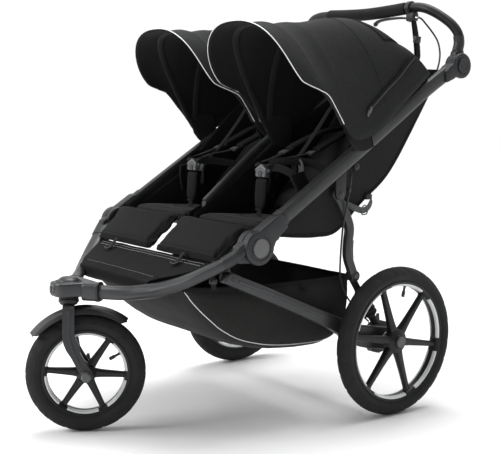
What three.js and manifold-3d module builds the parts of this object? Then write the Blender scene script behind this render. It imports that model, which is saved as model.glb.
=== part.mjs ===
// Two-seat, three-wheel jogging stroller.
// Millimetres, +Z up, front toward -Y, origin on the floor under the middle of the stroller.
// "left" is +X: the side on the left hand of the child, who faces -Y.
import * as THREE from 'three';
import { mergeVertices } from 'three/addons/utils/BufferGeometryUtils.js';
import Module from 'manifold-3d';

const wasm = await Module();
wasm.setup();

// ---------------------------------------------------------------- driving dimensions
const REAR = { y: 304, z: 197, radius: 197, rim: 161, track: 351.5, halfWidth: 22,
  firstSpoke: -10.5 };
const FRONT = { radius: 147.4, rim: 109, halfWidth: 21, trail: 41, firstSpoke: -5 };
const STEER_Y = -467;              // vertical steering axis, on the centre plane
const CASTER_TURN = -27.35;        // degrees the caster is turned at rest
const FOLD = { y: -146.5, z: 474.6, radius: 41 };       // main fold hinge
const ARM = { y: -205, z: 402 };                        // swing-arm pivot under the front tube
const LEG_TOP = { y: 114, z: 591 };                     // rear-leg pivot under the upper tube
const KNEE = { y: 182, z: 376 };                        // where leg and suspension strut meet
const PIVOT = { y: 531, z: 923, radius: 34 };           // handlebar tilt pivot
const TUBE = { x: 329, width: 28, height: 38 };         // upper side tubes
const FRONT_TUBE = { width: 28, height: 34 };
const BAR_TOP_Z = 1087;            // height of the handlebar's cross piece
const SEAT = { inner: 14, outer: 304, frontY: -128, rearY: 118, top: 532, bottom: 502 };
const CANOPY = { inner: 13, outer: 352, pivotY: 149, pivotZ: 733, wall: 3 };
const GAP = 0.3;                   // clearance between pieces that touch

// ---------------------------------------------------------------- materials
const finish = (color, roughness, metalness) =>
  new THREE.MeshStandardMaterial({ color, roughness, metalness });
const FRAME_METAL = () => finish(0x2b2d2e, 0.42, 0.6);
const PLASTIC = () => finish(0x161718, 0.6, 0);
const GREY_PLASTIC = () => finish(0x54575a, 0.5, 0);
const RUBBER = () => finish(0x1f2021, 0.85, 0);
const FOAM = () => finish(0x141414, 0.95, 0);
const CLOTH = () => finish(0x1a1b1c, 0.95, 0);
const CANOPY_CLOTH = () => finish(0x202224, 0.92, 0);
const STEEL = () => finish(0x9a9d9f, 0.35, 0.9);

// ---------------------------------------------------------------- geometry helpers
const rad = THREE.MathUtils.degToRad;
const v3 = (x, y, z) => new THREE.Vector3(x, y, z);

function toSolid(geometry) {
  const bare = geometry.index ? geometry.clone() : geometry;
  bare.deleteAttribute('normal');
  bare.deleteAttribute('uv');
  const merged = mergeVertices(bare, 1e-4);
  return new wasm.Manifold(new wasm.Mesh({
    numProp: 3,
    vertProperties: new Float32Array(merged.attributes.position.array),
    triVerts: new Uint32Array(merged.index.array),
  }));
}

function toGeometry(solid) {
  const mesh = solid.getMesh();
  const geometry = new THREE.BufferGeometry();
  geometry.setAttribute('position', new THREE.BufferAttribute(mesh.vertProperties, 3));
  geometry.setIndex(new THREE.BufferAttribute(mesh.triVerts, 1));
  return geometry;
}

function join(...pieces) {
  return toGeometry(pieces.map(toSolid).reduce((a, b) => a.add(b)));
}

function cut(piece, ...tools) {
  return toGeometry(tools.map(toSolid).reduce((a, b) => a.subtract(b), toSolid(piece)));
}

const overlap = (a, b) => toGeometry(toSolid(a).intersect(toSolid(b)));

// Turns every face of a geometry over, so that it points the other way.
function turnOver(geometry) {
  if (!geometry.index) {
    geometry.setIndex([...Array(geometry.attributes.position.count).keys()]);
  }
  const index = geometry.index.array;
  for (let i = 0; i < index.length; i += 3) {
    [index[i], index[i + 1]] = [index[i + 1], index[i]];
  }
  return geometry;
}

// The same geometry on the other side of the centre plane.
const mirror = geometry => turnOver(geometry.clone().scale(-1, 1, 1));

// Six times the signed volume: negative where the faces point inward.
function signedVolume(geometry) {
  const corner = i => v3(0, 0, 0).fromBufferAttribute(geometry.attributes.position, i);
  const index = geometry.index.array;
  let volume = 0;
  for (let i = 0; i < index.length; i += 3) {
    volume += corner(index[i]).dot(corner(index[i + 1]).cross(corner(index[i + 2])));
  }
  return volume;
}

// A round bar along X from x0 to x1.
function barX(radius, x0, x1, y, z, segments = 24) {
  return new THREE.CylinderGeometry(radius, radius, x1 - x0, segments)
    .rotateZ(Math.PI / 2).translate((x0 + x1) / 2, y, z);
}

function barZ(radiusTop, radiusBottom, z0, z1, y, segments = 24) {
  return new THREE.CylinderGeometry(radiusTop, radiusBottom, z1 - z0, segments)
    .rotateX(Math.PI / 2).translate(0, y, (z0 + z1) / 2);
}

// A closed profile [radius, x] revolved about the X axis.
function turnX(profile, segments) {
  const points = profile.map(([radius, x]) => new THREE.Vector2(radius, x));
  points.push(points[0].clone());
  return new THREE.LatheGeometry(points, segments).rotateZ(-Math.PI / 2);
}

function roundedShape(width, height, radius) {
  const w = width / 2;
  const h = height / 2;
  const shape = new THREE.Shape();
  shape.moveTo(-w + radius, -h);
  shape.lineTo(w - radius, -h).absarc(w - radius, -h + radius, radius, -Math.PI / 2, 0);
  shape.lineTo(w, h - radius).absarc(w - radius, h - radius, radius, 0, Math.PI / 2);
  shape.lineTo(-w + radius, h).absarc(-w + radius, h - radius, radius, Math.PI / 2, Math.PI);
  shape.lineTo(-w, -h + radius);
  shape.absarc(-w + radius, -h + radius, radius, Math.PI, 1.5 * Math.PI);
  return shape;
}

function roundShape(radius) {
  return new THREE.Shape().absarc(0, 0, radius, 0, 2 * Math.PI);
}

// A section carried along a smooth curve through the points.
function sweep(points, shape, steps, curveSegments = 3) {
  const path = new THREE.CatmullRomCurve3(points.map(p => v3(...p)), false, 'centripetal');
  return new THREE.ExtrudeGeometry(shape, { steps, extrudePath: path, curveSegments });
}

// An outline in the YZ plane, given thickness from x0 to x1.
function plateX(shape, x0, x1, curveSegments = 6) {
  const geometry = new THREE.ExtrudeGeometry(shape, {
    depth: x1 - x0, bevelEnabled: false, curveSegments, steps: 1,
  });
  const turn = new THREE.Matrix4().makeBasis(v3(0, 1, 0), v3(0, 0, 1), v3(1, 0, 0));
  return geometry.applyMatrix4(turn).translate(x0, 0, 0);
}

const outline = points => new THREE.Shape(points.map(([y, z]) => new THREE.Vector2(y, z)));

const smoothOutline = points => new THREE.Shape()
  .setFromPoints(new THREE.SplineCurve(points.map(([y, z]) => new THREE.Vector2(y, z)))
    .getPoints(points.length * 3));

// A slab whose every point is placed by a function of u, v and w, each from 0 to 1.
function bentSlab(nu, nv, place) {
  const geometry = new THREE.BoxGeometry(1, 1, 1, nu, nv, 1);
  geometry.deleteAttribute('normal');
  geometry.deleteAttribute('uv');
  const slab = mergeVertices(geometry, 1e-6);
  const position = slab.attributes.position;
  for (let i = 0; i < position.count; i += 1) {
    const point = place(position.getX(i) + 0.5, position.getY(i) + 0.5, position.getZ(i) + 0.5);
    position.setXYZ(i, point.x, point.y, point.z);
  }
  return signedVolume(slab) < 0 ? turnOver(slab) : slab;
}

const mix = THREE.MathUtils.lerp;
const mixPoint = (a, b, t) => [mix(a[0], b[0], t), mix(a[1], b[1], t)];

// Point at fraction t along a polyline of [y, z] points.
function along(points, t) {
  const place = t * (points.length - 1);
  const i = Math.min(Math.floor(place), points.length - 2);
  return mixPoint(points[i], points[i + 1], place - i);
}

// ---------------------------------------------------------------- assembly
const stroller = new THREE.Group();

function add(name, geometry, material, parent = stroller) {
  const mesh = new THREE.Mesh(geometry, material);
  mesh.name = name;
  parent.add(mesh);
}

// Adds a left piece and its mirror image.
function addPair(name, geometry, material) {
  add(`${name}_left`, geometry, material());
  add(`${name}_right`, mirror(geometry), material());
}

// ---------------------------------------------------------------- wheels
const WHEEL_SEGMENTS = 32;

function tyre({ radius, rim, halfWidth }) {
  const tall = radius - rim;
  return turnX([
    [rim - 3, -halfWidth * 0.6], [rim + tall * 0.35, -halfWidth],
    [rim + tall * 0.8, -halfWidth * 0.8], [radius, -halfWidth * 0.25],
    [radius, halfWidth * 0.25], [rim + tall * 0.8, halfWidth * 0.8],
    [rim + tall * 0.35, halfWidth], [rim - 3, halfWidth * 0.6],
  ], WHEEL_SEGMENTS);
}

// Rim, six box spokes and hub, moulded in one piece, with a bore for the axle.
function moulding({ rim, halfWidth, firstSpoke }, hubRadius, hubHalf, bore) {
  const seat = rim - 3 - GAP;
  const band = turnX([
    [seat, -halfWidth * 0.5], [seat, halfWidth * 0.5], [rim - 4, halfWidth * 0.72],
    [rim - 13, halfWidth * 0.5], [rim - 13, -halfWidth * 0.5], [rim - 4, -halfWidth * 0.72],
  ], WHEEL_SEGMENTS);
  const foot = rim - 10;
  const spokeShape = outline([
    [10, -13], [hubRadius + 14, -8.5], [foot * 0.62, -6.5], [foot - 14, -8], [foot, -19],
    [foot, 19], [foot - 14, 8], [foot * 0.62, 6.5], [hubRadius + 14, 8.5], [10, 13],
  ]);
  const spokes = [];
  for (let i = 0; i < 6; i += 1) {
    spokes.push(plateX(spokeShape, -7, 7).rotateX(rad(60 * i + firstSpoke)));
  }
  const hub = barX(hubRadius, -hubHalf, hubHalf, 0, 0);
  return cut(join(band, ...spokes, hub), barX(bore, -hubHalf - 1, hubHalf + 1, 0, 0, 20));
}

const STUB_RADIUS = 8;
const HUB_HALF = 23;
const BUTTON_RADIUS = 15;

function rearWheel() {
  const wheel = cut(
    moulding(REAR, 24, HUB_HALF, STUB_RADIUS + GAP),
    barX(BUTTON_RADIUS + GAP, HUB_HALF - 6, HUB_HALF + 1, 0, 0),
  );
  const place = geometry => geometry.translate(REAR.track, REAR.y, REAR.z);
  addPair('rear_wheel', place(wheel), PLASTIC);
  addPair('rear_tyre', place(tyre(REAR)), RUBBER);
  addPair('wheel_release', place(barX(BUTTON_RADIUS, HUB_HALF - 2, HUB_HALF + 4, 0, 0)),
    GREY_PLASTIC);
}

// ---------------------------------------------------------------- caster
function caster() {
  const turned = new THREE.Group();
  turned.position.set(0, STEER_Y, 0);
  turned.rotation.z = rad(CASTER_TURN);
  stroller.add(turned);

  const axle = { y: FRONT.trail, z: FRONT.radius };
  const seat = geometry => geometry.translate(0, axle.y, axle.z);
  add('front_tyre', seat(tyre(FRONT)), RUBBER(), turned);
  add('front_wheel', seat(moulding(FRONT, 19, 30, 5 + GAP)), PLASTIC(), turned);
  add('front_axle', join(
    barX(5, -58, 58, axle.y, axle.z, 16),
    barX(12, 45.4, 60, axle.y, axle.z, 24),
    barX(10, -56, -45.4, axle.y, axle.z, 6),
  ), GREY_PLASTIC(), turned);

  // Fork: a crown over the wheel and two bent legs with eyes for the axle.
  const legShape = new THREE.Shape();
  legShape.moveTo(-15, 321).lineTo(-16, 250).quadraticCurveTo(-14, 222, 4, 196);
  legShape.lineTo(axle.y - 15, axle.z + 6);
  legShape.absarc(axle.y, axle.z, 16, rad(158), rad(35));
  legShape.lineTo(24, 228).quadraticCurveTo(14, 240, 13, 262);
  legShape.lineTo(14, 321);
  const leg = plateX(legShape, 33, 45, 5);
  const crown = plateX(outline([[-15, 311], [14, 311], [14, 319], [-15, 319]]), -40, 40);
  const boss = barZ(20, 22, 315, 323, 0);
  const hole = barX(5 + GAP, -60, 60, axle.y, axle.z, 16);
  add('fork', cut(join(leg, mirror(leg), crown, boss), hole), PLASTIC(), turned);
  add('steering_bearing', barZ(25, 22, 323 + GAP, 335, 0, 28), STEEL(), turned);

  // Fender: a thin arched strip round the wheel, with side lips and a ridge.
  const arc = [];
  for (let i = 0; i <= 10; i += 1) {
    const angle = rad(mix(143, 52, i / 10));
    arc.push([0, axle.y + 160 * Math.cos(angle), axle.z + 160 * Math.sin(angle)]);
  }
  const strip = outline([
    [-32, -9], [-30, -9], [-27, -1], [-9, 1.5], [0, 0.5], [9, 1.5], [27, -1], [30, -9], [32, -9],
    [29, 1.5], [10, 4], [0, 6], [-10, 4], [-29, 1.5],
  ]);
  const space = plateX(outline([[-15.5, 311 - GAP], [14.5, 311 - GAP], [14.5, 330], [-15.5, 330]]),
    -46, 46);
  const legRoom = plateX(outline([[-17, 240], [15, 240], [15, 330], [-17, 330]]), 32.5, 46);
  add('fender', cut(sweep(arc, strip, 10), space, legRoom, mirror(legRoom)), PLASTIC(), turned);
}

// ---------------------------------------------------------------- front frame
// The head block's body, or the same body grown all round to cut its neighbours with.
function headBody(grow) {
  const plan = new THREE.Shape();
  plan.moveTo(-40, -412).lineTo(-54, -428).lineTo(-36, -466).lineTo(-28, -496);
  plan.quadraticCurveTo(-26, -506, -16, -507).lineTo(16, -507);
  plan.quadraticCurveTo(26, -506, 28, -496).lineTo(36, -466).lineTo(54, -428).lineTo(40, -412);
  return new THREE.ExtrudeGeometry(plan, {
    depth: 30, bevelEnabled: true, bevelThickness: 3 + grow, bevelSize: 3 + grow,
    bevelSegments: 1, curveSegments: 3,
  }).translate(0, 0, 343);
}

function headBlock() {
  const body = headBody(0);
  const dome = barZ(22, 29, 374, 387, STEER_Y, 28);
  const boss = barZ(28, 25, 335 + GAP, 345, STEER_Y, 28);
  const collar = sweep([[34, -440, 354], [62, -418, 354]], roundedShape(38, 44, 14), 1, 2);
  const lockBore = new THREE.CylinderGeometry(11 + GAP, 11 + GAP, 12, 20)
    .translate(0, -509, 360);
  add('head_block', cut(join(body, dome, boss, collar, mirror(collar)), lockBore), FRAME_METAL());
  const knob = new THREE.CylinderGeometry(11, 11, 9, 20).translate(0, -509, 360);
  const wing = new THREE.BoxGeometry(5, 4, 16).translate(0, -514.5, 360);
  add('swivel_lock', join(knob, wing), GREY_PLASTIC());
}

function frontFrame() {
  const tube = sweep([
    [65, -416, 354], [100, -396, 355], [130, -377, 357], [160, -355, 362], [190, -332, 369],
    [220, -306, 381], [250, -277, 397], [280, -244, 419], [306, -214, 440], [325, -190, 461],
  ], roundedShape(FRONT_TUBE.width, FRONT_TUBE.height, 11), 13, 2);
  const headRoom = headBody(1);
  const seatTubeLug = plateX(outline([
    [-224, 411], [-204, 411], [-206, 448], [-232, 442],
  ]), 270.3, 296);
  const casting = plateX(outline([
    [-204, 437], [-168, 437], [-138, 448], [-135, 495], [-158, 507], [-204, 480],
  ]), 309, 341);
  const upperRoom = barX(FOLD.radius + 1.5, 328.1, 360, FOLD.y, FOLD.z, 28);
  const disc = barX(FOLD.radius, 307, 327.8, FOLD.y, FOLD.z, 28);
  const lug = plateX(outline([
    [-220, 402], [-215, 391], [-205, 387], [-195, 391], [-190, 402], [-198, 436], [-226, 436],
  ]), 284, 297.7);
  const pin = barX(6, 290, 322, ARM.y, ARM.z, 16);
  addPair('front_frame', join(
    cut(join(tube, casting, seatTubeLug, disc), upperRoom, headRoom), lug, pin,
  ), FRAME_METAL);
  addPair('hinge_cap', barX(22, 352 + GAP, 356, FOLD.y, FOLD.z, 28), GREY_PLASTIC);
}

function footrest() {
  const halfWidths = [260, 232, 204, 176, 152];
  const run = [[-236, 428], [-268, 416], [-296, 406], [-322, 398], [-340, 392]];
  const slab = bentSlab(10, 8, (u, v, w) => {
    const [y, z] = along(run, v);
    const crown = 5 * Math.sin(Math.PI * u);
    const half = along(halfWidths.map(width => [width, 0]), v)[0];
    return v3(mix(-half, half, u), y, mix(z - 22, z + crown, w));
  });
  const lip = plateX(outline([[-345, 356], [-330, 352], [-326, 380], [-341, 392]]), -140, 140);
  add('footrest', join(slab, lip), CLOTH());
  add('seat_front_tube', barX(9, -270, 270, -214, 421, 18), FRAME_METAL());
}

function calfPads() {
  const run = [[-136, 527], [-150, 520], [-180, 491], [-222, 449]];
  const pad = bentSlab(8, 6, (u, v, w) => {
    const [y, z] = along(run, v);
    const crown = 7 * Math.sin(Math.PI * u) * Math.sin(Math.PI * v);
    const off = mix(-24, crown, w);
    const inset = 4 * (1 - w);
    const outer = SEAT.outer - 40 * v - inset;
    return v3(mix(SEAT.inner + inset, outer, u), y - off * 0.5, z + off * 0.72);
  });
  addPair('calf_pad', pad, CLOTH);
}

// ---------------------------------------------------------------- basket
function basket() {
  const outer = [
    [-280, 366], [-262, 330], [-238, 300], [-206, 270], [-166, 238], [-108, 205], [-20, 184],
    [80, 176], [150, 178], [188, 204], [194, 270], [186, 372],
  ];
  const plan = grow => new THREE.ExtrudeGeometry(new THREE.Shape([
    [-281, -60], [-232, -272], [-215, -300], [215, -300], [232, -272], [281, -60], [281, 240],
    [-281, 240],
  ].map(([x, y]) => new THREE.Vector2(x + Math.sign(x) * grow, y))), {
    depth: 300, bevelEnabled: false,
  }).translate(0, 0, 150);
  const solid = overlap(plateX(smoothOutline(outer), -281, 281), plan(0));
  const inner = outer.map(([y, z]) => [-40 + (y + 40) * 0.976, 385 + (z - 385) * 0.975]);
  const space = overlap(plateX(smoothOutline(inner), -277, 277), plan(-4));
  const open = plateX(outline([[-320, 366], [-278, 362], [175, 362], [210, 372], [210, 420],
    [-320, 420]]), -300, 300);
  add('basket', cut(solid, space, open), CLOTH());
}

// ---------------------------------------------------------------- upper frame
const TUBE_RUN = [
  [-84, 531], [-30, 566], [60, 624], [171, 696], [300, 781], [420, 861], [497, 906],
];

function upperFrame() {
  const x = TUBE.x;
  const tube = sweep(TUBE_RUN.map(([y, z]) => [x, y, z]),
    roundedShape(TUBE.width, TUBE.height, 11), 6, 2);
  const casting = plateX(outline([
    [-186, 470], [-185, 488], [-172, 499], [-94, 550], [-80, 550], [-60, 519], [-84, 502],
    [-100, 487], [-106, 470],
  ]), 316, 350);
  const frontRoom = barX(FOLD.radius + 1.5, 300, 328.1, FOLD.y, FOLD.z, 28);
  const disc = barX(FOLD.radius, 328.4, 352, FOLD.y, FOLD.z, 28);
  const bracket = plateX(outline([
    [99, 586], [106, 577], [116, 574], [126, 579], [131, 592], [134, 650], [96, 626],
  ]), 329, 339);
  const pin = barX(5, 303, 331, LEG_TOP.y, LEG_TOP.z, 16);
  const end = plateX(outline([[478, 880], [520, 900], [520, 935], [484, 916]]), 316, 352);
  const housing = barX(PIVOT.radius, 340, 352, PIVOT.y, PIVOT.z, 28);
  const hubRoom = barX(PIVOT.radius + 1.5, 300, 339.5, PIVOT.y, PIVOT.z, 28);
  const buttonBore = barX(20 + GAP, 346, 356, PIVOT.y, PIVOT.z, 28);
  const side = cut(
    join(cut(join(tube, casting), frontRoom), disc, bracket, pin, cut(end, hubRoom), housing),
    buttonBore,
  );
  addPair('upper_frame', side, FRAME_METAL);
  addPair('handle_button', barX(20, 348.5, 356, PIVOT.y, PIVOT.z, 28), GREY_PLASTIC);
}

function crossMembers() {
  const beamRun = [[-60, 551], [20, 617], [114, 692], [240, 778], [360, 848], [438, 886]];
  const beam = sweep(beamRun.map(([y, z]) => [0, y, z]), roundedShape(20, 28, 8), 5, 2);
  const foot = plateX(outline([
    [-76, 498], [-56, 498], [-40, 548], [-44, 570], [-68, 552],
  ]), -9, 9);
  const front = barX(12, -306, 306, -66, 494, 20);
  const barRoom = barX(11 + GAP, -30, 30, 453, 880, 20);
  add('centre_beam', join(cut(beam, barRoom), foot, front), FRAME_METAL());
  add('top_cross_bar', barX(11, -314, 314, 453, 880, 20), FRAME_METAL());
}

// ---------------------------------------------------------------- swing arms and rear legs
function swingArms() {
  const shape = new THREE.Shape();
  shape.moveTo(-232, 396);
  shape.absarc(ARM.y, ARM.z, 16, rad(235), rad(60), true);
  shape.lineTo(120, 279).quadraticCurveTo(200, 246, 300, 226);
  shape.absarc(REAR.y, REAR.z, 30, rad(90), rad(-110), true);
  shape.quadraticCurveTo(190, 190, 110, 243);
  const blank = plateX(shape, 298, 322, 6);
  const hole = barX(6 + GAP, 290, 330, ARM.y, ARM.z, 16);
  const stub = barX(STUB_RADIUS, 320, REAR.track + HUB_HALF - 7, REAR.y, REAR.z, 20);
  addPair('lower_bar', join(cut(blank, hole), stub), FRAME_METAL);
  add('rear_axle_tube', barX(13, -269, 269, REAR.y, REAR.z, 20), FRAME_METAL());
  addPair('brake_drum', join(
    barX(44, 270, 297.6, REAR.y, REAR.z, 28), barX(30, 269.4, 272, REAR.y, REAR.z, 20),
  ), PLASTIC);

  // Suspension strut: an eye at the knee, a ribbed rubber boot and a foot on the arm.
  const from = v3(0, KNEE.y, KNEE.z);
  const to = v3(0, 276, 240);
  const length = from.distanceTo(to);
  const profile = [[0, 0], [9, 0], [9, length * 0.38]];
  for (let i = 0; i < 4; i += 1) {
    const base = length * (0.4 + 0.1 * i);
    profile.push([14, base], [18, base + length * 0.035], [14, base + length * 0.07]);
  }
  profile.push([10, length * 0.82], [10, length], [0, length]);
  const strut = new THREE.LatheGeometry(profile.map(p => new THREE.Vector2(...p)), 10)
    .applyQuaternion(new THREE.Quaternion().setFromUnitVectors(
      v3(0, 1, 0), to.clone().sub(from).normalize()))
    .translate(304, from.y, from.z);
  const eye = barX(14, 299, 313, KNEE.y, KNEE.z, 20);
  const armRoom = plateX(outline([
    [200, 258], [260, 243], [300, 228], [340, 200], [300, 160], [200, 190],
  ]), 290, 330);
  addPair('suspension_strut', cut(join(strut, eye), blank.clone(), armRoom), RUBBER);
  const pedalHub = cut(barX(18, 60, 96, REAR.y, REAR.z, 24),
    barX(13 + GAP, 50, 100, REAR.y, REAR.z, 24));
  const pedalPlate = plateX(outline([
    [REAR.y + 16, REAR.z - 4], [REAR.y + 62, REAR.z + 8], [REAR.y + 62, REAR.z + 13],
    [REAR.y + 16, REAR.z + 6],
  ]), 52, 104);
  add('brake_pedal', join(pedalHub, pedalPlate), PLASTIC());
}

function rearLegs() {
  const leg = sweep([
    [317, LEG_TOP.y, LEG_TOP.z], [317, 142, 548], [317, 163, 502], [317, 160, 466],
    [317, 160, 430], [317, 172, 398], [317, KNEE.y, KNEE.z],
  ], roundedShape(20, 25, 6), 9, 2);
  const topEye = barX(15, 307, 327, LEG_TOP.y, LEG_TOP.z, 20);
  const kneeEye = barX(14, 313.6, 327, KNEE.y, KNEE.z, 20);
  const kneeRoom = barX(16, 300, 313.6, KNEE.y, KNEE.z, 20);
  const topHole = barX(5 + GAP, 300, 330, LEG_TOP.y, LEG_TOP.z, 16);
  const blank = cut(join(leg, topEye), topHole);
  addPair('rear_leg', join(cut(blank, kneeRoom), kneeEye), FRAME_METAL);
}

// ---------------------------------------------------------------- handlebar
const BAR_BORE = 14.2;               // inside radius of what is clamped round the 13 mm bar

const HANDLE_RUN = [
  [326, 533, 952], [327, 540, 982], [325, 538, 1008], [309, 531, 1033], [274, 517, 1061],
  [240, 505, 1079], [208, 503, 1086], [180, 503, BAR_TOP_Z],
];
const GRIP_RUN = [
  [162, 503, 1086.5], [90, 503, 1082.5], [0, 503, 1080], [-90, 503, 1082.5],
  [-162, 503, 1086.5],
];

function handlebar() {
  const whole = [...HANDLE_RUN, ...GRIP_RUN,
    ...HANDLE_RUN.map(([x, y, z]) => [-x, y, z]).reverse()];
  const bar = sweep(whole, roundShape(13), 38, 5);
  const neck = plateX(outline([
    [510, 925], [552, 925], [551, 955], [549, 968], [520, 962], [518, 950],
  ]), 313, 339);
  const hub = barX(31, 313, 339, PIVOT.y, PIVOT.z, 24);
  add('handlebar', join(bar, neck, hub, mirror(neck), mirror(hub)), PLASTIC());
  const bore = GRIP_RUN.map(([x, y, z]) => [x * 1.05, y, z]);
  add('handle_grip', cut(
    sweep(GRIP_RUN, roundShape(17), 6, 8), sweep(bore, roundShape(BAR_BORE), 6, 6),
  ), FOAM());
}

function handBrake() {
  const ring = cut(barX(18, 170, 184, 503, BAR_TOP_Z, 24),
    barX(BAR_BORE, 160, 200, 503, BAR_TOP_Z, 20));
  const perch = new THREE.BoxGeometry(30, 20, 22).translate(185, 503, BAR_TOP_Z - 28);
  add('brake_perch', cut(join(ring, perch), barX(BAR_BORE, 160, 205, 503, BAR_TOP_Z, 20)),
    PLASTIC());
  const blade = sweep([
    [167.5, 503, 1056], [140, 503, 1058], [100, 503, 1058], [62, 503, 1055], [46, 503, 1050],
    [40, 503, 1044],
  ], roundedShape(14, 7, 3), 12, 1);
  add('brake_lever', blade, GREY_PLASTIC());
  add('brake_cable', sweep([
    [201, 503, 1059], [212, 505, 1055], [222, 510, 1046], [238, 521, 1026], [258, 528, 1000],
    [276, 522, 968], [290, 505, 938], [300, 486, 914], [305, 476, 905],
  ], roundShape(2.6), 20, 2), PLASTIC());
  add('brake_cable_rear', sweep([
    [331, 152, 652], [331, 147, 600], [331, 136, 555], [331, 126, 510], [330, 124, 465],
    [322, 130, 420], [306, 146, 380], [291, 170, 340], [283, 205, 300], [281, 240, 265],
    [280, 271, 235],
  ], roundShape(2.6), 26, 2), PLASTIC());
  const loop = new THREE.Shape();
  loop.moveTo(186, 1048).quadraticCurveTo(200, 1000, 202, 950).quadraticCurveTo(209, 938, 216, 950);
  loop.quadraticCurveTo(214, 1000, 196, 1048);
  const inside = new THREE.Path();
  inside.moveTo(192, 1040).quadraticCurveTo(204, 1000, 205, 952).quadraticCurveTo(209, 947, 213, 952);
  inside.quadraticCurveTo(211, 1000, 193, 1040);
  loop.holes.push(inside);
  add('wrist_strap', new THREE.ExtrudeGeometry(loop, {
    depth: 16, bevelEnabled: false, curveSegments: 6,
  }).rotateX(Math.PI / 2).translate(0, 511, 0), CLOTH());
}

// ---------------------------------------------------------------- seats
function seatBase() {
  const slab = bentSlab(8, 6, (u, v, w) => {
    const dip = -10 * Math.sin(Math.PI * u) * Math.sin(Math.PI * v);
    const z = mix(SEAT.bottom + 20, SEAT.top, w) + dip - 14 * v;
    return v3(mix(SEAT.inner, SEAT.outer, u), mix(SEAT.frontY, SEAT.rearY, v), z);
  });
  addPair('seat_base', slab, CLOTH);
}

function seatBack() {
  const front = [[130, 528], [168, 566], [232, 618], [276, 668], [318, 730], [412, 846]];
  const slab = bentSlab(8, 7, (u, v, w) => {
    const [y, z] = along(front, v);
    const wing = 26 * Math.pow(Math.abs(2 * u - 1), 4) * Math.sin(Math.PI * Math.min(1, v + 0.1));
    const off = mix(-26, 2 + wing, w);
    return v3(mix(SEAT.inner, SEAT.outer, u), y - off * 0.72, z + off * 0.69);
  });
  addPair('seat_back', slab, CLOTH);
}

function harness() {
  const middle = (SEAT.inner + SEAT.outer) / 2;
  const place = geometry => geometry.rotateX(rad(-4)).translate(middle, -4, 528);
  const pad = place(new THREE.BoxGeometry(48, 15, 84, 2, 1, 2).translate(0, 0, 54));
  addPair('crotch_pad', pad, CLOTH);
  const shell = cut(
    new THREE.BoxGeometry(44, 17, 34).translate(0, 0, 114),
    new THREE.CylinderGeometry(9 + GAP, 9 + GAP, 10, 20).translate(0, -7.2, 114),
  );
  addPair('buckle', place(shell), GREY_PLASTIC);
  const button = new THREE.CylinderGeometry(9, 9, 6, 20).translate(0, -7.6, 114);
  addPair('buckle_button', place(button), PLASTIC);
}

// ---------------------------------------------------------------- canopies
// Side walls stand on the ground line; the crown runs along the top. Both are followed from
// the front edge (t = 0) to the rear edge (t = 1), and each section is a rounded arch.
const GROUND = [[54, 836], [100, 788], [CANOPY.pivotY, CANOPY.pivotZ], [232, 780], [316, 836],
  [385, 882], [440, 914]];
const CROWN = [[-112, 1012], [-56, 1015], [16, 1016], [96, 1021], [176, 1030], [240, 1028],
  [300, 985]];

function archPoint(angle, t, shrink) {
  const middle = (CANOPY.inner + CANOPY.outer) / 2;
  const half = (CANOPY.outer - CANOPY.inner) / 2 - shrink;
  const side = Math.sin(angle);
  const power = 2 / 2.4;
  const x = middle + half * Math.sign(side) * Math.pow(Math.abs(side), power);
  const rise = Math.pow(Math.max(Math.cos(angle), 0), power);
  const [groundY, groundZ] = along(GROUND, t);
  const [crownY, crownZ] = along(CROWN, t);
  const lead = mix(Math.sqrt(rise), rise, Math.min(1, t * 2.5));
  return v3(x, mix(groundY, crownY, lead), mix(groundZ, crownZ - shrink, rise));
}

function canopyShell(t0, t1, rows) {
  return bentSlab(14, rows, (u, v, w) => archPoint(
    rad(mix(-90, 90, u)), mix(t0, t1, v), CANOPY.wall * (1 - w),
  ));
}

function canopies() {
  const split = 0.38;
  addPair('canopy', canopyShell(0, split, 4), CANOPY_CLOTH);
  addPair('canopy_rear', canopyShell(split + 0.003, 1, 6), CANOPY_CLOTH);
}

// ---------------------------------------------------------------- build order
rearWheel();
caster();
headBlock();
frontFrame();
footrest();
calfPads();
basket();
upperFrame();
crossMembers();
swingArms();
rearLegs();
handlebar();
handBrake();
seatBase();
seatBack();
harness();
canopies();

export default stroller;
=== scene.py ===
import math

import bmesh
import bpy
import numpy as np
from mathutils import Matrix, Vector, noise


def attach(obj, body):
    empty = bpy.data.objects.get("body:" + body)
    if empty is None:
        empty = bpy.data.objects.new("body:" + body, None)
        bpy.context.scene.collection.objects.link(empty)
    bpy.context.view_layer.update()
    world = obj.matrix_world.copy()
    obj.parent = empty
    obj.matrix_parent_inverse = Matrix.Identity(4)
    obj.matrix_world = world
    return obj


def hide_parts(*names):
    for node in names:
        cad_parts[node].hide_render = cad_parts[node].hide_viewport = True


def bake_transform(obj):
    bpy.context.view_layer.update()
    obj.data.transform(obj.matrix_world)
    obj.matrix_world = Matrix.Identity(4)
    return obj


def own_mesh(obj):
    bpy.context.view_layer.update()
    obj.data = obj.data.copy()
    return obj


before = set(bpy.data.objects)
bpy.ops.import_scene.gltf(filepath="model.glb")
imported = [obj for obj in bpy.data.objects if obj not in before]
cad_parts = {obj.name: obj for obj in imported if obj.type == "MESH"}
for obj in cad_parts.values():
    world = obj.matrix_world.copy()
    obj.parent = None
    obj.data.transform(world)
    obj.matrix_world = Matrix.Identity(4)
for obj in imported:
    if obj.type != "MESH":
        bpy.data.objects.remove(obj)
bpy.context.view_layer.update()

# Lengths below are millimetres unless a name says otherwise; MM turns them into metres.
MM = 0.001
scene = bpy.context.scene

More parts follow.
